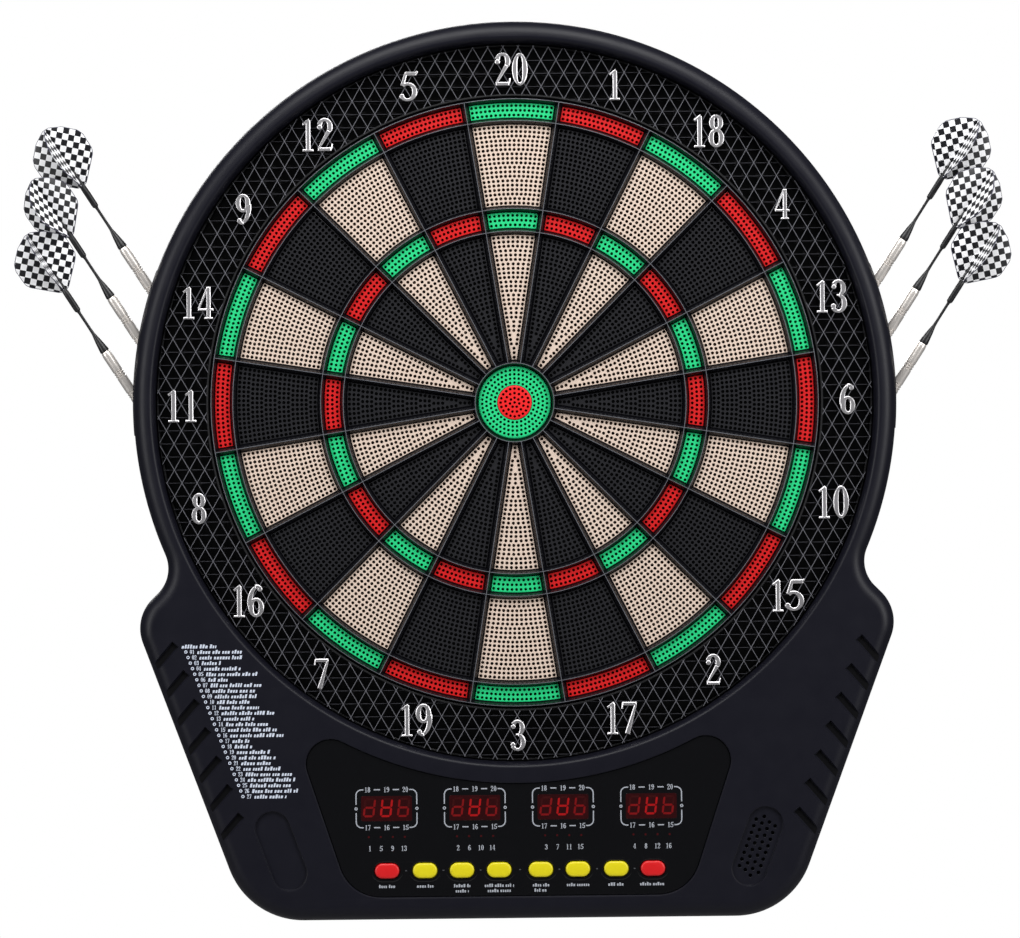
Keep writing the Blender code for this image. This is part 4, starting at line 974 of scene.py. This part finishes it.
def fascia():
    """The glossy panel, with a rounded edge and a soft edge round each button's hole."""
    shell = Shell()
    gap, edge = 0.3 * MM, 0.35 * MM
    sides = ((0, FASCIA_BACK), (0, FASCIA_FRONT - edge), (-0.3 * edge, FASCIA_FRONT - 0.3 * edge),
             (-edge, FASCIA_FRONT))
    outside = [shell.ring(fascia_loop(grow - gap), depth) for grow, depth in sides]
    shell.skin(*outside)
    holes = []
    for name in BUTTONS:
        x, z = centre_of(f"button_{name}")
        rings = [shell.ring(button_outline(x, z, 0.4 * MM - grow), depth) for grow, depth in sides]
        shell.skin(*rings)
        holes.append(rings)
    shell.fill(outside[0], *(rings[0] for rings in holes))
    shell.fill(outside[-1], *(rings[-1] for rings in holes))
    weighted(shell.piece("fascia_panel", GLOSS, "gloss_black", "board", "control_fascia"))


def buttons():
    """Soft caps with a crowned top, each on its own body."""
    profile = ((-1.2, 27.9), (-1.2, 29.2), (0, 29.2), (0, 33.1), (0.12, 33.55), (0.45, 33.88), (0.95, 34.02),
               (1.9, 34.13), (3.0, 34.18))
    for name in BUTTONS:
        x, z = centre_of(f"button_{name}")
        shell = Shell()
        shell.solid(*(shell.ring(button_outline(x, z, -inset * MM), depth * MM) for inset, depth in profile))
        shell.solid(*(shell.ring(circle(2 * MM, 24, x, z), depth * MM) for depth in (26, 28.5)))
        ends = name in (BUTTONS[0], BUTTONS[-1])
        shell.piece(f"cap_{name}", BUTTON_RED if ends else YELLOW, "button_red" if ends else "button_yellow",
                    f"button_{name}", f"button_{name}")


def printed(shell, loop, hole=None, base=FASCIA_FRONT):
    """A patch of ink on a flat face."""
    loops = [loop, hole] if hole else [loop]
    edges = [[shell.ring(points, base - TOUCH / 5), shell.ring(points, base + TOUCH)] for points in loops]
    for pair in edges:
        shell.skin(*pair)
    for level in zip(*edges):
        shell.fill(*level)


def bar(shell, x, z, length, height):
    printed(shell, turned(box_corners(length, height), 0, x, z))


def line(shell, points, width):
    """An inked line along a path."""
    spots = [Vector(p) for p in points]
    sides = [[], []]
    for i, spot in enumerate(spots):
        along = (spots[min(i + 1, len(spots) - 1)] - spots[max(i - 1, 0)]).normalized()
        for side, sign in zip(sides, (0.5, -0.5)):
            side.append(tuple(spot + Vector((-along.y, along.x)) * width * sign))
    printed(shell, sides[0] + sides[1][::-1])


def bracket(shell, x, z):
    """Four rounded corners round a display, with gaps for the numbers above and below and the dot beside."""
    half_x, half_z = BRACKET_SIZE[0] / 2, BRACKET_SIZE[1] / 2
    for i in (-1, 1):
        for j in (-1, 1):
            centre = (half_x - BRACKET_R, half_z - BRACKET_R)
            corner = arc(centre, BRACKET_R, 0, math.pi / 2, 8)
            path = [(half_x, BRACKET_SIDE_GAP)] + corner + [(half_x - BRACKET_STUB, half_z)]
            line(shell, [(x + i * px, z + j * pz) for px, pz in path], PRINT_LINE)
        printed(shell, circle(0.95 * MM, 16, x + i * half_x, z), circle(0.4 * MM, 16, x + i * half_x, z))


def inked_number(text, height, x, z, base, spread):
    return written("inked_number", text, height, x, z, base - TOUCH / 5, TOUCH * 1.4, spread)


def small_number(numerals, text, x, z):
    numerals.append(inked_number(text, SMALL_NUMBER, x, z, FASCIA_FRONT, 11.5))


def words(shell, draw, x, z, length, height, base, slant=0.0):
    """A row of small inked blocks in groups, standing for a line of words."""
    at, end = 0.0, length
    while at < end:
        for _ in range(draw.randint(3, 6)):
            width = min(end - at, height * draw.uniform(0.34, 0.52))
            if width < height * 0.2:
                break
            tall = height * draw.choice((0.62, 0.62, 0.88))
            low = z - height / 2
            block = [(at, 0), (at + width, 0), (at + width, tall), (at, tall)]
            printed(shell, [(x + px + slant * pz, low + pz) for px, pz in block], base=base)
            at += width + height * 0.2
        at += height * 0.34


DIGIT_PITCH, DIGIT_RISE = 9.9 * MM, 0.6 * MM
SEGMENT_BARS = {  # place and turn of each bar of a digit 2 wide and 4 high
    "a": (0, 2, 0), "b": (1, 1, 90), "c": (1, -1, 90), "d": (0, -2, 0), "e": (-1, -1, 90), "f": (-1, 1, 90),
    "g": (0, 0, 0)}


def lit_digit(shell, x, z, lit):
    """A slanted seven-bar digit under the window."""
    half_width, half_height, thick, slant = 2.75 * MM, 4.95 * MM, 1.2 * MM, 0.12
    for name in lit:
        across, up, degrees = SEGMENT_BARS[name]
        length = (half_height if degrees else 2 * half_width) - 0.4 * MM
        tip = thick / 2
        outline = [(-length / 2, 0), (-length / 2 + tip, -tip), (length / 2 - tip, -tip), (length / 2, 0),
                   (length / 2 - tip, tip), (-length / 2 + tip, tip)]
        loop = turned(outline, degrees, across * half_width, up * half_height / 2)
        printed(shell, [(x + px + slant * pz, z + pz) for px, pz in loop], base=FASCIA_FRONT + 0.1 * MM)


def displays():
    """Four windows with three lit digits each, player dots below them, and a printed bracket round each."""
    prints, dots, numerals = Shell(), Shell(), []
    for number in range(1, 5):
        name = f"led_display_{number}"
        x, z = centre_of(name)
        z += DISPLAY_RISE
        window = Shell()
        rings = []
        for inset, depth in ((0, FASCIA_FRONT - 0.05 * MM), (0, FASCIA_FRONT + 0.04 * MM),
                             (0.06 * MM, FASCIA_FRONT + 0.1 * MM)):
            size = [s - 2 * inset for s in WINDOW_SIZE]
            rings.append(window.ring(rounded_box(*size, WINDOW_R, x, z), depth))
        window.solid(*rings)
        window.piece(f"window_{number}", WINDOW, "display_red", "board", name)
        bright, dim, off = Shell(), Shell(), Shell()
        for place, lit, shell in ((-1, "bcdeg", dim), (0, "bcdefg", bright), (1, "cdefg", dim)):
            lit_digit(shell, x + place * DIGIT_PITCH, z + DIGIT_RISE, lit)
            unlit = [bar_name for bar_name in SEGMENT_BARS if bar_name not in lit]
            lit_digit(off, x + place * DIGIT_PITCH, z + DIGIT_RISE, unlit)
        # The off segments' faint glow is painted light.
        kinds = (("bright", bright, SEGMENT), ("dim", dim, SEGMENT_DIM), ("off", off, SEGMENT_OFF_PAINTED_GLOW))
        for kind, shell, finish in kinds:
            shell.piece(f"digits_{kind}_{number}", finish, "display_red", "board", name)
        bracket(prints, x, z)
        for j, row in ((1, ("18", "19", "20")), (-1, ("17", "16", "15"))):
            level = z + j * BRACKET_SIZE[1] / 2
            for i, text in enumerate(row):
                small_number(numerals, text, x + (i - 1) * 11 * MM, level)
            for i in (-0.5, 0.5):
                bar(prints, x + i * 11 * MM, level, 3.6 * MM, PRINT_LINE)
        for i in range(4):
            printed(dots, circle(0.6 * MM, 14, x + (i - 1.5) * 7 * MM, DOT_Z))
            small_number(numerals, str(number + 4 * i), x + (i - 1.5) * 6.6 * MM, DOT_LABEL_Z)
    draw = random.Random(4)
    for name in BUTTONS:
        x, z = centre_of(f"button_{name}")
        rows = 2 if name in ("option", "players", "double") else 1
        length = {"players": 17 * MM, "handicap": 13 * MM, "start": 15 * MM}.get(name, 9.5 * MM)
        for row in range(rows):
            part = length * (1 - 0.2 * row)
            words(prints, draw, x - part / 2, LABEL_Z - row * 3.0 * MM, part, 2.1 * MM, FASCIA_FRONT)
    mesh = prints.mesh("panel_print")
    piece("panel_print", joined(mesh, *numerals), PANEL_PRINT, "gloss_black", "board", "control_fascia")
    dots.piece("panel_dots", DOT, "display_red", "board", "control_fascia")


def bezels():
    """A low glossy ring round each button, with a short tick between neighbours."""
    shell, ticks = Shell(), Shell()
    last = None
    for name in BUTTONS:
        x, z = centre_of(f"button_{name}")
        profile = ((0.65, -0.05), (0.75, 0.12), (1.05, 0.22), (1.9, 0.22), (2.25, 0.1), (2.35, -0.05))
        rings = [shell.ring(button_outline(x, z, grow * MM), FASCIA_FRONT + rise * MM)
                 for grow, rise in profile]
        shell.skin(*rings, rings[0])
        if last is not None:
            bar(ticks, (last + x) / 2, z, 1.0 * MM, 0.5 * MM)
        last = x
    shell.piece("button_bezels", GLOSS, "gloss_black", "board", "control_fascia")
    ticks.piece("button_ticks", PRINT_DIM, "gloss_black", "board", "control_fascia")


def game_list():
    """The printed list on the left flank: a heading and 27 numbered lines that follow the casing's edge."""
    draw = random.Random(11)
    shell, numerals = Shell(), []
    left, top = LIST_START
    words(shell, draw, left - 1.6 * MM, top + LIST_PITCH, 20 * MM, LIST_HEIGHT, FRONT, LIST_SLANT)
    for row in range(LIST_ROWS):
        x, z = left + row * LIST_SHIFT, top - row * LIST_PITCH
        ring = [circle(r, 12, x + 0.9 * MM, z) for r in (0.95 * MM, 0.45 * MM)]
        printed(shell, *ring, base=FRONT)
        numerals.append(inked_number(f"{row + 1:02d}", LIST_HEIGHT, x + 4.5 * MM, z, FRONT, 10.8))
        words(shell, draw, x + 7.4 * MM, z, draw.uniform(8, 31) * MM, LIST_HEIGHT, FRONT, LIST_SLANT)
    mesh = joined(shell.mesh("game_list"), *numerals)
    piece("game_list", mesh, PRINT, "housing_black", "board", "front_housing")


# ---- darts -----------------------------------------------------------------------------------------

DART_ENTRIES = tuple((x * MM, z * MM) for x, z in ((212.2, 67.6), (219.5, 38.5), (223.3, 6.7)))
DART_ENTRY_DEPTH, TIP_REACH = 13.5 * MM, 45 * MM
DART_STEEP_DEG, DART_LEAN_DEG = 57.5, 5.0
DART_TURN_DEG = {-1: (12.0, 27.0, 4.0), 1: (12.0, 22.0, 10.0)}
FLIGHT = ((1.2, 118), (3.4, 118.8), (16.1, 130.6), (17.6, 133.5), (17.9, 143), (16.4, 147), (9.6, 153.6),
          (1.5, 157.8))  # half a wing's outline in mm: out from the dart's axis, and up from its tip
FLIGHT_RIM, FLIGHT_RIM_HALF, FLIGHT_HALF = 0.35 * MM, 0.15 * MM, 0.22 * MM
WING_FACE = 0.995  # a flight's face is printed where its normal lies this near the X or the Y axis


def dart_place(side, index):
    """A dart's own frame: its tip at the origin, its flight towards +Z."""
    steep, lean = math.radians(DART_STEEP_DEG), math.radians(DART_LEAN_DEG)
    outward = Vector((side * math.cos(steep) * math.cos(lean), math.sin(steep) * math.cos(lean),
                      math.sin(lean)))
    entry = Vector((side * DART_ENTRIES[index][0], DART_ENTRIES[index][1], DART_ENTRY_DEPTH))
    across = Vector((0, 0, 1)).cross(outward).normalized()
    axes = Matrix((across, outward.cross(across), outward)).transposed().to_4x4()
    spin = Matrix.Rotation(math.radians(side * DART_TURN_DEG[side][index]), 4, "Z")
    return UPRIGHT @ Matrix.Translation(entry - outward * TIP_REACH) @ axes @ spin


def spun(name, profile, steps=28):
    """A piece turned round the dart's axis, from (radius, height) points in millimetres."""
    shell = Shell()
    shell.solid(*(shell.ring(circle(r * MM, steps), h * MM) for r, h in profile))
    return shell.mesh(name, upright=False, sharp=35)


def barrel_profile():
    profile = [(1.5, 24.0), (2.1, 24.6), (2.4, 26), (2.9, 28)]
    for start, count in ((32, 4), (44, 3), (58, 3)):
        for i in range(count):
            h = start + i * 1.6
            profile += [(2.95, h), (2.6, h + 0.25), (2.6, h + 0.75), (2.95, h + 1.0)]
    return profile + [(2.95, 73), (2.7, 75), (2.4, 75.6), (1.5, 75.6)]


def stem_mesh():
    """The threaded foot, the flare, a waist, a sleeve and four fingers round the flight's root."""
    profile = [(1.2, 75.4), (2.75, 75.8), (2.75, 77), (2.6, 78), (1.9, 83), (1.0, 88), (0.85, 92),
               (0.85, 102), (1.0, 103.5), (1.75, 104.5), (1.85, 106), (1.85, 115), (1.75, 118), (1.4, 119)]
    meshes = [spun("stem", profile)]
    for i in range(4):
        shell = Shell()
        rings = []
        for half, height in ((0.45, 114), (0.5, 118), (0.45, 127), (0.25, 128.6)):
            loop = rounded(box_corners(2 * half * MM, 2 * half * MM, 1.25 * MM), 0.2 * MM, 2)
            rings.append(shell.ring(turned(loop, 45 + 90 * i), height * MM))
        shell.solid(*rings)
        meshes.append(shell.mesh("finger", upright=False))
    return united(meshes)


def flight_mesh():
    """Two crossing pairs of thin wings, a little thinner towards the rim."""
    side = rounded([(x * MM, h * MM) for x, h in FLIGHT], 0.9 * MM, 3)[2:-2]
    loop = side + mirrored(side)
    meshes = []
    for turn in (0.0, math.pi / 2):
        shell = Shell()
        inner = shrunk(loop, FLIGHT_RIM)
        shell.block(shell.ring(inner, -FLIGHT_HALF), shell.ring(loop, -FLIGHT_RIM_HALF),
                    shell.ring(loop, FLIGHT_RIM_HALF), shell.ring(inner, FLIGHT_HALF))
        mesh = shell.mesh("wings", upright=False)
        mesh.transform(Matrix.Rotation(turn, 4, "Z") @ Matrix.Rotation(math.pi / 2, 4, "X"))
        meshes.append(mesh)
    return united(meshes)


def darts():
    tip = spun("tip", [(0.25, 0.0), (0.45, 0.5), (0.75, 6), (1.0, 12), (1.5, 18), (1.9, 19), (1.9, 21),
                       (1.6, 21.8), (1.6, 24.4), (1.2, 25)])
    barrel, flight = spun("barrel", barrel_profile()), finished(flight_mesh(), CHECKS, FLIGHT_EDGE)
    for face in flight.polygons:
        face.material_index = int(max(abs(face.normal.x), abs(face.normal.y)) < WING_FACE)
    kinds = (("tip", finished(tip, NYLON)), ("barrel", finished(barrel, STEEL)),
             ("stem", finished(stem_mesh(), NYLON)), ("flight", flight))
    for position in range(6):
        side, index = (-1 if position < 3 else 1), position % 3
        body = f"dart_{position + 1}"
        for kind, mesh in kinds:
            piece(f"{body}_{kind}", mesh, None, "steel", body, body, place=dart_place(side, index))


# ---- racks, back and connector ---------------------------------------------------------------------

COVER_INSET, COVER_FRONT = WALL + 0.4 * MM, -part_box("rear_cover")[0].y
KEYHOLE_X, KEYHOLE_Z, KEYHOLE_RISE = 152 * MM, 127 * MM, 10 * MM
KEYHOLE_R, KEYHOLE_SLOT_R = 4.75 * MM, 2.4 * MM
SCREW_SPOTS = ((138.4 * MM, 164.9 * MM), (160 * MM, -225 * MM))
BAY_Z = -254 * MM
BAY_HALF, BAY_WALL, BAY_TOP, BAY_ROOF = (22 * MM, 25 * MM), 2 * MM, 20 * MM, 21.7 * MM
DOOR_HALF, DOOR_GAP, DOOR_BACK, DOOR_FRONT = (24 * MM, 27 * MM), 0.4 * MM, 0.3 * MM, 2.1 * MM
CELL_PITCH = 14.6 * MM
SOCKET_R = 3.4 * MM
# Two radii, two bearings in degrees and two depths.
RACK_SHELF = (212.1 * MM, 218.9 * MM, -9.5, 22.0, 6.5 * MM, 19.0 * MM)
RACK_PAD = (217.5 * MM, 223.6 * MM, -4.5, 21.0, 8.6 * MM, 18.4 * MM)


def both_sides(spots):
    return [(side * x, z) for x, z in spots for side in (-1, 1)]


def rack_part(name, side, sizes, chamfer):
    """A block along the casing's round side, with the darts' three sockets through it."""
    back, front = sizes[4:]
    loop = rounded_ends(band(*sizes[:4], 24), 1.2 * MM)
    block = prisms([mirrored(loop) if side < 0 else loop], back, front, chamfer).mesh(name)
    sockets = []
    for index in range(len(DART_ENTRIES)):
        bore = spun("socket", [(SOCKET_R / MM, 0), (SOCKET_R / MM, 90)], 40)
        bore.transform(dart_place(side, index))
        sockets.append(bore)
    return booleaned(block, sockets)


def rounded_ends(loop, radius):
    """Softens the four square corners of a band made of two arcs."""
    half = len(loop) // 2
    made = []
    for first in (0, half):
        side = [Vector(p) for p in loop[first:first + half]]
        before, after = Vector(loop[first - 1]), Vector(loop[(first + half) % len(loop)])
        made.append(tuple(side[0] + (before - side[0]).normalized() * radius))
        made.append(tuple(side[0] + (side[1] - side[0]).normalized() * radius * 0.5))
        made += [tuple(p) for p in side[1:-1]]
        made.append(tuple(side[-1] + (side[-2] - side[-1]).normalized() * radius * 0.5))
        made.append(tuple(side[-1] + (after - side[-1]).normalized() * radius))
    return made


def racks():
    for side, name in ((-1, "left"), (1, "right")):
        node_name = f"dart_rack_{name}"
        for kind, sizes, chamfer in (("shelf", RACK_SHELF, 0.3 * MM), ("pad", RACK_PAD, 0.6 * MM)):
            mesh = rack_part(f"rack_{kind}_{name}", side, sizes, chamfer)
            piece(f"rack_{kind}_{name}", mesh, HOUSING, "housing_black", "board", node_name)


def keyhole(x, grow=0.0):
    """A round hole with a narrow slot above it."""
    hole_r, slot_r = KEYHOLE_R + grow, KEYHOLE_SLOT_R + grow
    mouth = math.asin(slot_r / hole_r)
    loop = arc((x, KEYHOLE_Z), hole_r, math.pi / 2 + mouth, math.tau + math.pi / 2 - mouth, 28)
    return loop + arc((x, KEYHOLE_Z + KEYHOLE_RISE), slot_r, 0, math.pi, 12)


def between(shell, outer, inner, depth):
    """A cutter for the band of the back face between two outlines."""
    pairs = [[shell.ring(loop, d) for d in (-1 * MM, depth)] for loop in (outer, inner)]
    for pair in pairs:
        shell.skin(*pair)
    for level in zip(*pairs):
        shell.fill(*level)


def within(shell, loop, depth):
    """A cutter for the part of the back face inside an outline."""
    shell.block(*(shell.ring(loop, d) for d in (-1 * MM, depth)))


PADS = ((95 * MM, 150 * MM), (105 * MM, -190 * MM))
PAD_R, PAD_SINK = 8 * MM, 1.2 * MM


def cover_recesses():
    """What is moulded into the back face: grooves round its edge and in two circles, spokes between these, a
    field for a label, pockets for four pads and a finger's notch over the door."""
    shell = Shell()
    between(shell, casing_loop(13 * MM), casing_loop(14.4 * MM), 0.7 * MM)
    between(shell, circle(119.6 * MM, 180), circle(118 * MM, 180), 0.7 * MM)
    between(shell, circle(51.6 * MM, 120), circle(50 * MM, 120), 0.7 * MM)
    for index in range(12):
        turn = 30 * index
        place = math.radians(turn)
        spoke = stadium(52 * MM, 1.8 * MM, 84.8 * MM * math.cos(place), 84.8 * MM * math.sin(place), turn, 8)
        within(shell, spoke, 0.7 * MM)
    within(shell, rounded_box(92 * MM, 36 * MM, 4 * MM, 0, -160 * MM), 0.4 * MM)
    for x, z in both_sides(PADS):
        within(shell, circle(PAD_R + 0.3 * MM, 48, x, z), PAD_SINK)
    within(shell, stadium(15 * MM, 6 * MM, 0, BAY_Z + DOOR_HALF[1] + 1.4 * MM), 1.3 * MM)
    return shell.mesh("cover_recesses")


def rear_cover():
    """The back plate: the battery opening, two keyholes and four sunk screw holes, all with eased edges."""
    shell = Shell()
    eased = ((0, COVER_FRONT), (0, 0.35 * MM), (0.1 * MM, 0.1 * MM), (0.35 * MM, 0))
    opening = [2 * (half + DOOR_GAP) for half in DOOR_HALF]
    holes = [[shell.ring(keyhole(x, grow), d) for grow, d in eased] for x in (-KEYHOLE_X, KEYHOLE_X)]
    holes.append([shell.ring(rounded_box(opening[0] + 2 * grow, opening[1] + 2 * grow, 1.6 * MM, 0, BAY_Z), d)
                  for grow, d in eased])
    for x, z in both_sides(SCREW_SPOTS):
        holes.append([shell.ring(circle(r * MM, 36, x, z), d * MM)
                      for r, d in ((1.9, COVER_FRONT / MM), (1.9, 1.5), (3.3, 1.5), (3.3, 0))])
    edge = [shell.ring(casing_loop(COVER_INSET + inset * MM), d) for inset, d in
            ((0, COVER_FRONT), (0, 0.15 * MM), (0.1, 0))]
    for rings in (edge, *holes):
        shell.skin(*rings)
    shell.fill(edge[0], *(rings[0] for rings in holes))
    shell.fill(edge[-1], *(rings[-1] for rings in holes))
    mesh = booleaned(shell.mesh("rear_plate"), [cover_recesses()])
    weighted(piece("rear_plate", mesh, COVER, "cover_black", "board", "rear_cover"))
    pad = [(0.001 * MM, 0.1 * MM), (PAD_R - 0.6 * MM, 0.1 * MM), (PAD_R - 0.15 * MM, 0.3 * MM),
           (PAD_R, 0.7 * MM), (PAD_R, PAD_SINK), (0.001 * MM, PAD_SINK)]
    for number, (x, z) in enumerate(both_sides(PADS), 1):
        disc = Shell()
        disc.solid(*(disc.ring(circle(r, 48, x, z), d) for r, d in pad))
        disc.piece(f"wall_pad_{number}", RUBBER, "rubber_black", "board", "rear_cover")


def battery_door():
    """The door with a sunk finger grip, a moulded arrow, grip lines and the latch's tongue."""
    shell = Shell()
    rings = []
    for inset, depth in ((0.35, DOOR_BACK), (0.1, DOOR_BACK + 0.1 * MM), (0, DOOR_BACK + 0.35 * MM),
                         (0, DOOR_FRONT)):
        width, height = (2 * (half - inset * MM) for half in DOOR_HALF)
        rings.append(shell.ring(rounded_box(width, height, 1.2 * MM, 0, BAY_Z), depth))
    shell.block(*rings)
    sunk = Shell()
    within(sunk, stadium(14 * MM, 5 * MM, 0, BAY_Z + 17 * MM), 1.1 * MM)
    within(sunk, [(-3 * MM, BAY_Z + 8 * MM), (3 * MM, BAY_Z + 8 * MM), (0, BAY_Z + 12.5 * MM)], 0.7 * MM)
    for row in range(7):
        within(sunk, stadium(26 * MM, 1.1 * MM, 0, BAY_Z - (2.0 + 3.0 * row) * MM, steps=6), 0.7 * MM)
    plate = booleaned(shell.mesh("battery_hatch"), [sunk.mesh("hatch_recesses")])
    latch = Shell()
    latch.solid(*(latch.ring(rounded_box(w * MM, h * MM, 0.4 * MM, 0, BAY_Z + BAY_HALF[1] - 1.8 * MM), d * MM)
                  for w, h, d in ((12, 2.4, 1.5), (12, 2.4, 7.6), (11.4, 1.4, 9.0))))
    mesh = joined(plate, latch.mesh("hatch_latch"))
    weighted(piece("battery_hatch", mesh, COVER, "cover_black", "battery_door", "battery_door"))


def spring(x, z, depth, rise):
    """A coiled contact that narrows towards its cell."""
    shell = Shell()
    turns, per_turn, sides, wire = 4, 20, 8, 0.35 * MM
    rings = []
    for i in range(turns * per_turn + 1):
        t = i / (turns * per_turn)
        angle = math.tau * i / per_turn
        radius = (3.6 - 1.2 * t) * MM
        first = len(shell.points)
        for k in range(sides):
            around = math.tau * k / sides
            reach = radius + wire * math.cos(around)
            along = rise * (6.5 * MM * t) + wire * math.sin(around)
            shell.points.append((x + reach * math.cos(angle), z + along, depth + reach * math.sin(angle)))
        rings.append(list(range(first, len(shell.points))))
    shell.solid(*rings)
    return shell.mesh("spring")


def battery_box():
    """The tray for three cells: low walls between them, and a plate and a spring or stud at each end."""
    shell = Shell()
    outer = rounded_box(2 * (BAY_HALF[0] + BAY_WALL), 2 * (BAY_HALF[1] + BAY_WALL), 1.5 * MM, 0, BAY_Z)
    inner = rounded_box(2 * BAY_HALF[0], 2 * BAY_HALF[1], 1 * MM, 0, BAY_Z)
    mouth = COVER_FRONT + 0.3 * MM
    shell.block(shell.ring(outer, BAY_ROOF), shell.ring(outer, mouth), shell.ring(inner, mouth),
                shell.ring(inner, BAY_TOP))
    walls = prisms([rounded_box(0.9 * MM, 2 * BAY_HALF[1] - 12 * MM, 0.3 * MM, side * CELL_PITCH / 2, BAY_Z)
                    for side in (-1, 1)], BAY_TOP + 0.5 * MM, BAY_TOP - 5 * MM)
    mesh = joined(shell.mesh("battery_tray"), walls.mesh("cell_walls"))
    piece("battery_tray", mesh, COVER, "cover_black", "board", "battery_box")
    contacts = []
    for column in (-1, 0, 1):
        x = column * CELL_PITCH
        for end in (-1, 1):
            plate = Shell()
            face = rounded_box(9 * MM, 9.5 * MM, 1 * MM, x, BAY_TOP - 7 * MM)
            levels = [BAY_Z + end * (BAY_HALF[1] - gap * MM) for gap in (0.1, 0.5)]
            rings = []
            for level in levels:
                first = len(plate.points)
                plate.points += [(px, level, pd) for px, pd in face]
                rings.append(list(range(first, len(plate.points))))
            plate.solid(*rings)
            contacts.append(plate.mesh("contact"))
            if end * (1 if column == 0 else -1) > 0:
                contacts.append(spring(x, BAY_Z + end * (BAY_HALF[1] - 0.8 * MM), BAY_TOP - 7 * MM, -end))
    piece("battery_contacts", joined(*contacts), STEEL, "steel", "board", "battery_box")


def rear_screws():
    """Pan heads with a cross recess, on a thin shank."""
    profile = [(0.05, 0.2), (1.9, 0.2), (2.6, 0.36), (3.0, 0.65), (3.1, 0.95), (3.1, 1.3), (1.5, 1.3),
               (1.5, 11.5), (0.5, 14.0)]
    slots = []
    for turn in (0, 90):
        slot = Shell()
        within(slot, turned(box_corners(3.4 * MM, 0.75 * MM), turn), 0.85 * MM)
        slots.append(slot.mesh("slot", upright=False))
    screw = booleaned(spun("screw", profile, 40), slots)
    for number, (x, z) in enumerate(sorted(both_sides(SCREW_SPOTS), key=lambda spot: -spot[1]), 1):
        node_name = min((f"rear_screw_{i}" for i in range(1, 5)),
                        key=lambda name: math.dist(centre_of(name), (x, z)))
        piece(f"cross_screw_{number}", screw, SCREW_STEEL, "steel", "board", node_name,
              place=UPRIGHT @ Matrix.Translation((x, z, 0)))


def inlet():
    """The adapter inlet in the casing's bottom edge: a nylon sleeve round a steel pin."""
    place = UPRIGHT @ Matrix.Translation(JACK_PLACE) @ Matrix.Rotation(math.pi / 2, 4, "X")
    sleeve = [(0.05, -9.2), (2.8, -9.2), (2.8, -0.5), (3.1, 0), (3.9, 0), (4.1, -0.2), (4.1, -4), (5.3, -4),
              (5.5, -4.3), (5.5, -13), (0.05, -13)]
    pin = [(0.05, -1.2), (0.6, -1.25), (1.0, -1.7), (1.0, -9.4), (0.05, -9.4)]
    parts = (("inlet_sleeve", sleeve, NYLON, "gloss_black"), ("inlet_pin", pin, STEEL, "steel"))
    for name, profile, finish, slot in parts:
        piece(name, spun(name, profile, 40), finish, slot, "board", "dc_jack", place=place)


# ---- carried-over nodes, studio and camera ---------------------------------------------------------

CARRIED = {
    "rubber_sheet": RUBBER, "membrane_sensor": FILM, "backing_board": FIBRE, "main_circuit_board": CIRCUIT,
    "keypad_mat": RUBBER, "speaker": RUBBER,
}


def finish_carried():
    for name, finish in CARRIED.items():
        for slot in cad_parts[name].material_slots:
            slot.material = finish


FLOOR_Z = -0.76
CAMERA_PLACE, CAMERA_ROLL_DEG = (-3.1 * MM, -1.8, -38.8 * MM), 0.6
LENS, SENSOR_WIDTH = 107.4, 36


def softbox(name, place, target, size, power):
    """A white area light that faces its target."""
    lamp = bpy.data.lights.new(name, "AREA")
    lamp.shape = "RECTANGLE"
    lamp.size, lamp.size_y = size
    lamp.energy = power
    obj = linked(name, lamp)
    obj.location = place
    obj.rotation_euler = (Vector(target) - Vector(place)).to_track_quat("-Z", "Y").to_euler()


def studio():
    """White round the object for the camera and dim for everything else, four soft boxes, and a floor below."""
    world = bpy.data.worlds.new("studio")
    world.use_nodes = True
    tree = world.node_tree
    tree.nodes.clear()
    seen = node(tree, "ShaderNodeBackground", Strength=1.0)
    dim = node(tree, "ShaderNodeBackground", Strength=0.1)
    rays, mix = node(tree, "ShaderNodeLightPath"), node(tree, "ShaderNodeMixShader")
    out = node(tree, "ShaderNodeOutputWorld")
    seen.inputs["Color"].default_value = (1, 1, 1, 1)
    dim.inputs["Color"].default_value = (0.92, 0.95, 1.0, 1)
    tree.links.new(rays.outputs["Is Camera Ray"], mix.inputs[0])
    tree.links.new(dim.outputs[0], mix.inputs[1])
    tree.links.new(seen.outputs[0], mix.inputs[2])
    tree.links.new(mix.outputs[0], out.inputs[0])
    bpy.context.scene.world = world
    bpy.context.scene.view_settings.view_transform = "Standard"
    softbox("top_box", (0.0, -0.85, 1.1), (0, 0, 0.05), (1.6, 0.7), 25)
    softbox("left_box", (-1.5, -1.2, 0.2), (0, 0, -0.05), (0.6, 1.4), 15)
    softbox("right_box", (1.5, -1.2, 0.3), (0, 0, -0.05), (0.6, 1.4), 20)
    softbox("rear_box", (-0.5, 1.6, 0.9), (0, 0, -0.05), (1.4, 1.0), 30)
    floor = lathe([(1.4, 0.0), (1.39, 0.01), (0.001, 0.01), (0.001, 0.0)], 64).mesh("floor", upright=False)
    floor.materials.append(surface("floor_pale", srgb(150, 150, 150), 0.7, tone=0.02))
    ground = linked("floor", floor)
    ground.location = (0, 0, FLOOR_Z)


def camera():
    eye = bpy.data.cameras.new("camera")
    eye.lens, eye.sensor_width = LENS, SENSOR_WIDTH
    obj = linked("camera", eye)
    obj.location = CAMERA_PLACE
    obj.rotation_euler = (math.pi / 2, math.radians(CAMERA_ROLL_DEG), 0)
    bpy.context.scene.camera = obj


camera()
casing()
spider()
sector_keys()
bull_keys()
catch_ring()
numbers()
fascia()
buttons()
bezels()
displays()
game_list()
darts()
racks()
rear_cover()
battery_door()
battery_box()
rear_screws()
inlet()
finish_carried()
studio()
